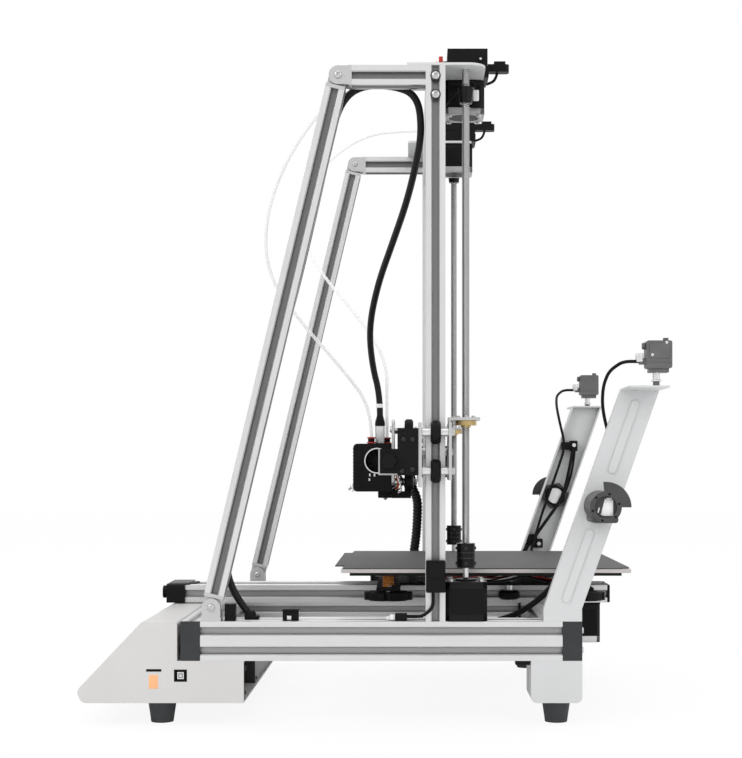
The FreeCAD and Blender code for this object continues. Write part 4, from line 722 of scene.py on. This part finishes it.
low_screws += level(0.2, "z", 0.5, [(203, -215.5), (203, 192.3)]) + level(64.9, "-z", 0.7, [(205, 190)])
laid_out("more_frame_screws", button_head, mirrored(low_screws))
gantry_screws = level(49.5, "-y", 0.9, WHEEL_SPOTS[:2]) + level(49.5, "-y", 0.7, [(184.25, 259)])
laid_out("gantry_screws", button_head, mirrored(gantry_screws), "z_gantry")
laid_out("gantry_nuts", hexagon_nut, mirrored(level(83, "y", 0.85, WHEEL_SPOTS)), "z_gantry")
laid_out("head_screws", button_head, level(19.5, "-y", 0.9, HEAD_SPOTS), "print_head")
laid_out("head_nuts", hexagon_nut, level(45.9, "y", 0.8, HEAD_SPOTS), "print_head")
laid_out("bed_wheel_screws", button_head, level(131.7, "z", 0.9, BED_SPOTS), "bed")
laid_out("bed_wheel_nuts", hexagon_nut, level(111.4, "-z", 0.8, BED_SPOTS), "bed")
print("screws laid out")

# %% [markdown]
# ### Lead screws
# The screws have a 2 mm pitch and four starts, which makes the 8 mm lead that lifts the gantry.

# %% Threaded lead screws
SCREW_X, SCREW_Y = 215, 98.4
LEAD_SCREWS = (("right", SCREW_X), ("left", -SCREW_X))
PITCH, STARTS, STEP, AROUND = 2 * MM, 4, 0.5 * MM, 20
ROOT_RADIUS, THREAD_DEPTH = 3.35, 0.63


def threaded(side, x):
    node = "lead_screw_" + side
    bottom, top = (corner[2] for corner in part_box(node))
    count = int((top - bottom) / STEP)
    shape, rings = bmesh.new(), []
    for i in range(count + 1):
        height = bottom + (top - bottom) * i / count
        ring = []
        for k, turn in enumerate(circle(AROUND)):
            lap = ((height - k / AROUND * PITCH * STARTS) / PITCH) % 1.0
            groove = max(0.0, min(1.0, 2.2 * abs(2 * lap - 1) - 0.6))
            radius = (ROOT_RADIUS + THREAD_DEPTH * groove) * MM
            place = (x * MM + radius * cos(turn), SCREW_Y * MM + radius * sin(turn), height)
            ring.append(shape.verts.new(place))
        rings.append(ring)
    stack(shape, rings)
    piece = finished("thread_" + side, shape, finish["thread"])
    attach(piece, "screw_" + side)
    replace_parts(piece, node)


for side, x in LEAD_SCREWS:
    threaded(side, x)
print("lead screws threaded")

# %% [markdown]
# ### Bed springs and level screws
# Die springs hold the plate up, and each has its screw down its middle, through the hand knob.

# %% Springs
corner_spots = corners(BED_MIDDLE, 120, 105)
die_spring = spring("die_spring", 6.5, 5.4, 15.6, 1.05, "spring")
springs = laid_out("coil_springs", die_spring, level(133, "z", 1, corner_spots), "bed", "spring")
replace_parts(springs, "bed_springs")
stems = Solids()
for x, y in corner_spots:
    stems.turned(disc(2, 149.7, 0.2, 119), (x, y, 0), sides=16)
    stems.turned(disc(4.2, 133.3, 0.3, 131.8), (x, y, 0), sides=20)
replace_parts(stems.done("level_screws", "screw", "bed"), "bed_springs")

# %% [markdown]
# ### Shaft couplings
# Each is an aluminium sleeve with two clamping slits and eight set screws.

# %% Couplings
for side, x in LEAD_SCREWS:
    slits = Solids()
    for z in (169.5, 175):
        slits.turned([(9.2, 0), (9.56, 0.1), (9.56, 0.8), (9.2, 0.9)], (x, SCREW_Y, z), sides=36)
    slits.done("coupling_slits_" + side, "dark_steel", "screw_" + side, "aluminium")
    shaft = Solids().turned(disc(2.9, 161.2, 0.2, 149.6), (x, SCREW_Y, 0))
    shaft.done("shaft_sleeve_" + side, "silver", "screw_" + side)
    ways = [("x", 9, 0), ("y", 0, 9), ("-x", -9, 0), ("-y", 0, -9)]
    spots = [((x + u, SCREW_Y + v, z), way, 0.4) for way, u, v in ways for z in (164.5, 180)]
    laid_out("coupling_screws_" + side, cap_head, spots, "screw_" + side, "black_screw")
print("couplings detailed")

# %% [markdown]
# ### Motors
# A stepper motor is a stack of black laminations between two cast ends, with a plug socket.

# %% Motor ends, screws and plugs
EXTRUDER, SCREW, Y_MOTOR = (155, 98.4), (SCREW_X, SCREW_Y), (0, 240.3)
END_SIDE, END_FLAT = 21.25, 17.05


def square_end(solids, at, low, high):
    """A motor's cast end: a square with cut corners, standing along Z."""
    part, a, b = bmesh.new(), END_SIDE, END_FLAT
    outline = [(b, -a), (a, -b), (a, b), (b, a), (-b, a), (-a, b), (-a, -b), (-b, -a)]
    stack(part, [[part.verts.new((at[0] + u, at[1] + v, z)) for u, v in outline] for z in (low, high)])
    return solids.eased(part, 0.5)


cast = square_end(Solids(), EXTRUDER, 635.9, 642.7).both()
cast.done("cast_motor_ends", "cast_end", slot="aluminium")
square_end(Solids(), Y_MOTOR, 59.4, 67).done("bright_motor_end", "bright_end", slot="aluminium")
ends = Solids()
for at, low, high in ((EXTRUDER, 665.5, 671.45), (SCREW, 139.6, 146.55), (SCREW, 106.55, 113.6)):
    square_end(ends, at, low, high)
ends.turned([(0, 635.7), (16, 635.7), (16, 636), (0, 636)], (*EXTRUDER, 0), sides=28).both()
square_end(ends, Y_MOTOR, 97.4, 103.9).done("black_motor_ends", "motor_end", slot="motor")
motor_bolts = level(636, "-z", 0.6, corners(EXTRUDER, 15.5, 15.5))
motor_bolts += level(146.4, "z", 0.62, corners(SCREW, 15.5, 15.5))
laid_out("motor_screws", cap_head, mirrored(motor_bolts))
sockets = Solids().box((176, 105.5, 641.5), (182, 115.5, 648.5)).both()
sockets.box((-26.5, 234.3, 86), (-21, 246.3, 95)).done("motor_sockets", "black")
plugs = Solids().box((176.5, 107.4, 647.5), (182.2, 113.4, 659.4), 0.6).both()
plugs.done("motor_plugs", "white")
lead = [(179, 110, 659), (179, 109, 668), (184, 103, 669), (187, 94, 660), (188, 84, 648), (190, 78.5, 641)]
Solids().wire(lead + [(194, 76, 637.5)], 1.6).both().done("motor_leads", "jacket")
print("motors detailed")

# %% [markdown]
# ### Extruders
# Each extruder squeezes the filament between a driven gear and an idler on the sprung lever. The
# gear, idler and spring show in the notch between the body and the lever.

# %% Extruder details
OUTLET = [(0, 0), (4.4, 0), (4.4, 3), (3.4, 4.2), (3.4, 7), (0, 7)]
CLIP = [(2.4, 0), (5.2, 0), (5.2, 1.6), (3.2, 1.8), (3.2, 6.2), (4.2, 6.4), (4.2, 7.6), (2.4, 7.6)]
SIDE_SCREW = (175.9, 115.4, 693.5)
bright, dark, red = Solids(), Solids(), Solids()
bright.turned(disc(5.6, 5.2, 0.5), (152, 98.4, 688.8), sides=28)
bright.turned(disc(4, 7.4), (*EXTRUDER, 696.9))
dark.turned(disc(3.1, 1.2), SIDE_SCREW, "x")
bright.turned(disc(1.3, 1.8, 0.3), SIDE_SCREW, "x", 16)
dark.wire([(139.85, 123, 676), (139.85, 129, 677.5), (139.85, 133.5, 682), (139.85, 135, 688)], 3)
red.box((152.4, 71.7, 693.5), (157.6, 76, 701.6), 0.8)
dark.box((146.5, 122.85, 675), (175.5, 124.1, 687))
dark.turned(OUTLET, (155, 80.6, 692.3), "-y", 20)
red.turned(CLIP, (155, 76.4, 692.3), "-y")
bright.both().done("extruder_gears", "silver")
dark.both().done("extruder_cheeks", "black")
red.both().done("extruder_clips", "red")
lever_spring = spring("lever_spring", 7.0, 2.6, 9, 0.45, "silver")
laid_out("lever_springs", lever_spring, mirrored([((147.5, 121.5, 692.3), "x", 0.9)]), "frame", "silver")
lid_screws = level(700.7, "z", 0.62, [(170.5, 86.2), (170.5, 117.2), (139.6, 110)])
laid_out("extruder_screws", cap_head, mirrored(lid_screws))

# %% [markdown]
# ### Gantry and wheels
# Bright spacer sleeves stand the V-wheels off their plates, and a ball bearing shows in each wheel.

# %% Spacers and bearings
SLEEVE, BEARING = 4.2, disc(6.6, 10.6)
sleeves = Solids()
for x, z in WHEEL_SPOTS:
    sleeves.turned(disc(SLEEVE, 9.1, 0.3), (x, 53, z), "y")
    sleeves.turned(disc(SLEEVE, 8.1, 0.3), (x, 72, z), "y")
    sleeves.turned(BEARING, (x, 61.7, z), "y", 28)
sleeves.both().done("gantry_sleeves", "silver", "z_gantry")
sleeves = Solids()
for x, z in HEAD_SPOTS:
    sleeves.turned(disc(SLEEVE, 12, 0.3), (x, 22.4, z), "y")
    sleeves.turned(BEARING, (x, 34.2, z), "y", 28)
sleeves.done("head_sleeves", "silver", "print_head")
sleeves = Solids()
for x, y in BED_SPOTS:
    sleeves.turned(disc(SLEEVE, 7, 0.3), (x, y, 121.7))
    sleeves.turned(BEARING, (x, y, 111.2), sides=28)
sleeves.done("bed_sleeves", "silver", "bed")
around = [(SCREW_X + u, SCREW_Y + v) for u, v in ((8, 0), (-8, 0), (0, 8), (0, -8))]
laid_out("nut_screws", cap_head, mirrored(level(314, "z", 0.5, around)), "z_gantry")
cover_screws = level(256, "x", 0.62, [(34.5, 291), (43.5, 261), (33, 259.5), (43.5, 291)])
laid_out("cover_screws", button_head, cover_screws, "z_gantry", "black_screw")

# %% Belt teeth
tooth = master("belt_tooth", Solids().box((-0.45, 0, -0.6), (0.45, 6, 0), 0.15))
runs = level(275.6, "z", 1, [(x, 23) for x in range(-272, 232, 4)])
runs += level(263, "-z", 1, [(x, 29) for x in range(-272, 232, 4)])
laid_out("x_belt_teeth", tooth, runs, "z_gantry", "rubber")
print("gantry detailed")

# %% [markdown]
# ### Print head
# The shroud's right wall carries a guard, a round vent and three small lights. Two red collets
# grip the tubes, a white plug and a black boot end the loom, and thin wires feed the heaters.

# %% Print head details
VENT_Y, VENT_Z, VENT_RADIUS = 2.5, 270, 13.4
COLLET = [(2.3, 0), (5.4, 0), (5.4, 1.4), (3.6, 1.7), (3.6, 5.6), (4.9, 5.9), (4.9, 7.4), (2.3, 7.4)]
BOOT = [(0, 0), (5.95, 0), (5.95, 4), (4.4, 9.8), (3.7, 12.5), (0, 12.5)]
VENT = [(13.5, 0), (15, 0.1), (15.2, 0.6), (14.9, 1.1), (13.7, 1.2), (13.4, 0.6), (13.5, 0)]
HAND_SCREW = [(0, 0), (2.6, 0.2), (3.2, 1.6), (3.2, 2.6), (1.4, 3), (1.4, 6.5), (0, 6.5)]
NOZZLE = [(1.2, 0), (1.4, 0.2), (3.9, 3.2), (3.9, 5.2), (0, 5.2)]
black, bright, red, white, orange = (Solids() for _ in range(5))
for x, y in ((-37.5, 13), (-12.5, -5)):
    red.turned(COLLET, (x, y, 290.6))
white.box((-32.2, -0.4, 290.2), (-17.8, 10.4, 311.6), 1.2)
black.turned(BOOT, (-25, 5, 311.5))
for z in (313.4, 315.6, 317.8):
    black.turned([(4.6, 0), (5.6, 0.2), (5.6, 0.9), (4.6, 1.1)], (-25, 5, z))
bright.turned(VENT, (12.4, VENT_Y, VENT_Z), "x", 48)
for k in range(5):
    turn = radians(36 * k)
    u, v = cos(turn) * VENT_RADIUS, sin(turn) * VENT_RADIUS
    guard = [(12, VENT_Y - u, VENT_Z - v), (12.2, VENT_Y, VENT_Z), (12, VENT_Y + u, VENT_Z + v)]
    black.wire(guard, 0.9, 6, 1)
for y, z in ((-6, 253.5), (-0.6, 253.3), (-6.6, 248)):
    white.box((12.2, y - 0.9, z - 1.6), (12.7, y + 0.9, z + 1.6), 0.2)
for z in range(239, 284, 4):
    black.box((-48, -26, z), (8.5, -25.2, z + 1.6), 0.2)
    black.box((12.3, -22.5, z), (12.8, -14.5, z + 1.4), 0.2)
for y in (-22, 16):
    black.turned(disc(2.2, 0.5, 0.2), (12.4, y, 286), "x", 16)
bright.turned(HAND_SCREW, (5.5, -31.6, 238.5), "y", 20)
bright.box((2, -27.2, 233.8), (9, -24.8, 243), 0.3)
for x in (-37.5, -12.5):
    black.box((x - 8.4, 3.8, 228.8), (x + 8.4, 19.2, 240.4), 1)
    bright.turned(NOZZLE, (x, 11.5, 223.9), hexed=(2, 3))
black.box((-44, 19.2, 226), (-6, 41, 230.5), 1)
black.box((-45.5, 3, 226.2), (-4.5, 24, 236), 1.5)
print("print head detailed")

# %% The heaters' and fans' wires
for solids, diameter, points in (
    (orange, 1.5, [(-6, 14, 237), (0, 17, 240), (6, 18, 246), (4, 14, 252), (2, 10, 256)]),
    (orange, 1.5, [(-6, 12, 234), (2, 15, 236), (9, 19, 243), (8, 22, 251), (4, 24, 257)]),
    (orange, 1.4, [(-6, 10, 236), (3, 12, 239), (10, 16, 247), (7, 19, 255)]),
    (orange, 4.2, [(-12, 23.5, 238), (-4, 25.5, 242), (3, 27, 247), (6, 26, 252), (2, 25, 255)]),
    (orange, 2, [(-10, 24, 234), (2, 27, 238), (12, 27, 244), (14, 25, 252), (9, 24, 256)]),
    (white, 1.8, [(-8, 26, 232), (6, 30, 233), (16, 31, 239), (18, 27, 248), (12, 25, 256)]),
    (black, 1.8, [(-6, 28, 231), (8, 34, 231), (19, 36, 238), (20, 31, 249), (13, 27, 257)]),
    (black, 1.8, [(-6, 16, 232), (6, 24, 234), (12, 30, 238), (12, 33, 246), (6, 31, 252), (0, 26, 255)]),
    (white, 1.4, [(-6, 18, 236), (6, 25, 240), (9, 28, 246), (5, 26, 251), (0, 23, 256)]),
):
    solids.wire(points, diameter)
black.done("head_black_parts", "black", "print_head")
bright.done("head_bright_parts", "silver", "print_head")
red.done("head_red_parts", "red", "print_head")
white.done("head_white_parts", "white", "print_head")
orange.done("head_orange_parts", "orange", "print_head")

# %% [markdown]
# ### Bed underside
# A wire loom with its strain relief leaves the bed's rear corner, and thin wires run under the plate.

# %% Bed wiring


def side_by_side(wires, diameter, starts, *bends):
    """One wire for each start in Y. A bend has its X, its distance in Y from the start, and its Z."""
    for y in starts:
        wires.wire([(x, y + run, z) for x, run, z in bends], diameter)
    return wires


wires = Solids()
thick = [(60, 212, 143), (80, 222, 140), (98, 216, 137), (106, 200, 136), (102, 182, 139), (97, 165, 143)]
wires.wire(thick, 3.2)
wires.wire([(66, 213, 142), (88, 218, 137), (102, 208, 134), (111, 190, 137), (105, 170, 142)], 2.6)
wires.box((44, 198, 140), (70, 224, 146), 1).done("bed_wires", "jacket", "bed")
wires = Solids()
wires.wire([(62, 208, 141), (82, 216, 138), (96, 206, 135), (101, 190, 139), (94, 172, 144)], 1.5)
wires.wire([(62, 205, 141), (80, 211, 137), (92, 200, 137), (97, 182, 142)], 1.5)
bends = (100, 0, 145), (116, 18, 141), (112, 46, 140), (104, 70, 143), (90, 92, 145)
side_by_side(wires, 1.4, (48, 62, 80), *bends).done("bed_power_wires", "red", "bed", "cable")
bends = (104, 0, 145), (120, 20, 138), (118, 44, 142), (108, 74, 138), (92, 96, 145)
wires = side_by_side(Solids(), 1.6, (54, 70), *bends)
wires.wire([(60, 203, 142), (84, 207, 141), (92, 194, 138), (95, 176, 143)], 1.5)
wires.done("bed_sensor_wires", "white", "bed", "cable")
bends = (96, 0, 145), (119, 16, 139), (122, 50, 137), (112, 76, 141), (88, 98, 145)
side_by_side(Solids(), 2, (50, 66, 84), *bends).done("bed_heater_wires", "jacket", "bed")
print("bed wired")

# %% [markdown]
# ### Bed belt tensioner
# A plate with two flush screws covers the tensioner, and the knob's shaft comes out of its front.

# %% Tensioner plate
plate = Solids().box((-27, -236.5, 127.9), (27, -214.5, 128.45), 0.15)
for x in (-19, 19):
    plate.turned(disc(3.6, 0.4, 0.1), (x, -225.5, 128.15))
plate.turned([(0, 0), (2.2, 0), (2.2, 5.6), (0, 5.6)], (0, -236.5, 116.5), "-y", 20)
plate.done("tensioner_plate", "dark")
print("tensioner detailed")

# %% [markdown]
# ### Frame fittings
# The end switches, filament sensors, clips, hubs and ports get their screws, seams and sockets.

# %% Filament sensors
black, bright, white = Solids(), Solids(), Solids()
case = Solids().box((275.5, 272.4, 365.5), (294.5, 296.6, 366.6))
case.box((293.6, 274.5, 369.5), (294.6, 294.5, 384.5), 0.6)
case.turned(disc(3.4, 3.2, 0.6), (285, 271.9, 382), "-y")
case.both().done("sensor_case_ribs", "sensor")
for y, z in ((277.5, 373), (291.5, 385)):
    bright.turned(disc(1.5, 0.5, 0.2), (294.2, y, z), "x", 14)
bright.box((280.2, 262.5, 366.2), (289.8, 269.5, 375), 1)
LOWEST = 348 * MM
sensor_points = [v.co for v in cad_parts["filament_sensors"].data.vertices]
low_ring = [co.y for co in sensor_points if co.z < LOWEST and co.x > 0]
post_y = sum(low_ring) / len(low_ring) / MM
bright.turned(disc(3.6, 11, 0.3), (285, post_y, 347.4))
bright.turned(disc(5, 2.2, 0.3), (285, post_y, 347.2), sides=6)
print("sensors detailed")

# %% Spool hubs
HUB, BOLT_CIRCLE = (232.8, 224), 13.3
HUB_RING = [(11.2, 0), (14.6, 0), (15.3, 0.6), (15.3, 1.4), (11.2, 1.8)]
lean = Matrix.Rotation(radians(-14), 4, "X")
for x in (286, 262, 240):
    black.turned(HUB_RING, (x, *HUB), "x", 40)
for k in range(6):
    turn = radians(60 * k + 15)
    bolt = (289.7, HUB[0] + cos(turn) * BOLT_CIRCLE, HUB[1] + sin(turn) * BOLT_CIRCLE)
    black.turned(disc(1.3, 0.5, 0.15), bolt, "x", 12)
# White pieces set in the hubs' bores are painted light: they stand in for the white backdrop seen through the
# hollow hubs.
face = Solids().box((284, 232.6, 215.3), (284.9, 240.6, 231.5), 0.3)
face.box((284, 233.8, 230.5), (284.9, 239.2, 233.4), 0.3)
face.box((284, -2.4, -8.4), (284.8, 2.2, 8.2), 0.3, Matrix.Translation((0, 232.6, 223.8)) @ lean)
face.box((284, -0.7, -2.6), (284.8, 0.7, 2.6), 0.2, Matrix.Translation((0, 226.2, 221)) @ lean)
face.turned(disc(10.2, 0.8, 0.2), (225, *HUB), "-x", 36)
face.both().done("hub_faces", "white")
hub = Solids().turned(disc(11.2, 1.4, 0.2), (282.8, *HUB), "x", 36)
hub.box((236, 219.8, 208.3), (286.5, 245.8, 215), 2.4)
hub.both().done("hub_saddles", "dark")
for radius, sides in ((14.9, 6), (12.6, 36)):
    rim = [(radius - 1.6, 0), (radius, 0), (radius, 1), (radius - 0.5, 1.5), (radius - 1.6, 1.5)]
    black.turned(rim, (225, *HUB), "-x", sides)
print("hubs detailed")

# %% Clips, cables, switches
black.box((222, 252, 283), (232, 262.5, 297), 1.2)
black.box((222, 196, 159), (232, 203, 170), 1.2)
black.box((222, 202, 155), (232, 216.5, 167), 1.2)
for y, z in ((257.5, 291), (211, 160.5)):
    bright.turned(disc(2.6, 1.2, 0.3), (221.9, y, z), "-x", 16)
black.wire([(223, 257, 290), (221, 252, 262), (221, 243, 222), (221, 220, 190), (222, 203, 166)], 4.4)
black.wire([(224, 259, 288), (224, 257, 256), (224, 240, 214), (224, 214, 184), (224, 206, 168)], 3)
low_cable = [(188, 133, 103), (188, 148, 107), (198, 164, 117), (214, 182, 134), (224, 192, 150)]
black.wire(low_cable + [(226, 197, 160)], 6.2)
black.both()
bright.both()
black.box((246.6, 62, 139), (247.6, 74, 150), 0.3)
black.box((246.6, 59.5, 152), (248, 76, 167), 0.5)
for y in (64.5, 71.5):
    black.turned(disc(1.8, 0.7, 0.2), (247.3, y, 144.5), "x", 16)
black.box((227.4, -146, 111), (228.6, -139, 121))
black.turned(disc(1.8, 0.6, 0.2), (228.4, -142.5, 116), "x", 16)
black.box((205.5, -129, 106.6), (218.5, -114, 110.5), 1.2)
GLAND = [(3.9, 0), (6.4, 0), (6.4, 2), (4.8, 5.5), (3.9, 5.8), (3.9, 0)]
black.turned(GLAND, (212, -123.6, 109.5), sides=28)
black.box((213, -89.5, 116.2), (227.5, -72.5, 118.2), 0.6)
bright.box((226.1, -84.5, 107), (227, -80, 111.5), 0.3)
black.done("fitting_trim", "black")
bright.done("fitting_screws", "silver", slot="steel")
white.box((219, 20.5, 107), (228, 26, 112.5), 0.6)
white.box((221.5, 16.8, 106.7), (225.5, 20.5, 110.5), 0.5)
white.done("endstop_plug_body", "white")
tag = Solids().turned([(3.72, 0), (4.1, 0.2), (4.1, 4.6), (3.72, 4.8)], (-24.6, 4.3, 333))
tag.done("loom_tag", "white", "print_head")
print("fittings detailed")

# %% [markdown]
# ### Control box
# The box is folded sheet: a lid screwed over a tray, with louvres under it.

# %% Control box details
black, bright, glow = Solids(), Solids(), Solids()
bright.box((229.5, -195.3, 47.9), (234.6, -188.5, 55.2), 0.3)
black.box((234.4, -194, 49.2), (234.8, -189.8, 53.7), 0.1)
bright.box((234.6, -193.3, 49.8), (235, -190.5, 53), 0.1)
black.box((219, -226.9, 56), (234.2, -211, 57.8), 0.1)
glow.box((234.7, -224, 38.3), (235.12, -214.7, 52.3), 0.15)
for x in range(-96, 97, 24):
    for y in (-160, -172, -184):
        black.box((x, y, 23.3), (x + 14, y + 2.5, 24), 0.15)
black.done("box_slots", "black")
bright.done("usb_shell", "silver")
glow.done("card_mark", "mark")
box_screws = level(-127.75, "y", 0.55, [(x, z) for x in (-225, -120, 120, 225) for z in (33, 58)])
box_screws += level(23.7, "-z", 0.55, [(x, y) for x in (-222, -75, 75, 222) for y in (-285, -140)])

# %% A bezel on the screen's slope
BEZEL = 4.5
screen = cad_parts["touch_screen"].data
front = max(screen.polygons, key=lambda face: face.area * (face.normal.z > 0.2) * (face.normal.y < -0.2))
low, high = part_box("touch_screen")
across = Vector((1, 0, 0))
upward = front.normal.cross(across).normalized()
heights = [v.co.dot(upward) for v in screen.vertices]
surface = max(v.co.dot(front.normal) for v in screen.vertices)
slope = Matrix((across, upward, front.normal)).transposed().to_4x4()
middle = upward * (max(heights) + min(heights)) / 2 + across * (low[0] + high[0]) / 2
slope.translation = (middle + front.normal * surface) / MM
wide, tall = (high[0] - low[0]) / 2 / MM, (max(heights) - min(heights)) / 2 / MM
bezel = Solids()
for side in (-1, 1):
    left, right = sorted((side * wide, side * (wide - BEZEL)))
    bottom, top = sorted((side * tall, side * (tall - BEZEL)))
    bezel.box((left, -tall, -0.3), (right, tall, 0.7), 0.25, slope)
    bezel.box((-wide, bottom, -0.3), (wide, top, 0.7), 0.25, slope)
bezel.done("screen_bezel", "dark")
print("screen slopes by %.1f degrees" % degrees(front.normal.angle(Vector((0, 0, 1)))))
laid_out("box_screws", button_head, box_screws, "frame", "black_screw")
print("control box detailed")

# %% [markdown]
# ## Floor and light
# A white table and a white room: large soft lamps on both sides, and a floor that the camera
# sees as plain white while it still takes the printer's shadow.

# %% Stage
REACH = 6.0


def stage_material():
    made = Recipe("white_floor", grey(0.9), 0.6)
    path = made.node("ShaderNodeLightPath", output="Is Camera Ray")
    glow = made.node("ShaderNodeEmission")
    floor = Link(made, made.shader.outputs[0])
    mixed = made.node("ShaderNodeMixShader", {}, {0: path * 0.9, 1: floor, 2: glow})
    made.feed(made.tree.nodes["Material Output"].inputs["Surface"], mixed)
    return made.material


floor_mesh = bpy.data.meshes.new("floor")
floor_corners = [(u * REACH, v * REACH, 0) for u, v in ((-1, -1), (1, -1), (1, 1), (-1, 1))]
floor_mesh.from_pydata(floor_corners, [], [(0, 1, 2, 3)])
add_object("floor", floor_mesh, stage_material())

world = bpy.data.worlds.new("studio")
scene.world = world
world.use_nodes = True
world.node_tree.nodes["Background"].inputs["Color"].default_value = (1, 1, 1, 1)


def lamp(name, place, size, power, aim=(0, 0, 0.35)):
    data = bpy.data.lights.new(name, "AREA")
    data.shape, data.size, data.energy = "DISK", size, power
    made = bpy.data.objects.new(name, data)
    made.location = place
    made.rotation_euler = (Vector(aim) - Vector(place)).to_track_quat("-Z", "Y").to_euler()
    scene.collection.objects.link(made)


lamp("key", (1.8, -1.6, 1.9), 1.4, 18)
lamp("fill", (1.8, 2.0, 1.4), 1.6, 10)
lamp("top", (0, 0, 2.6), 1.8, 12)
print("stage set")
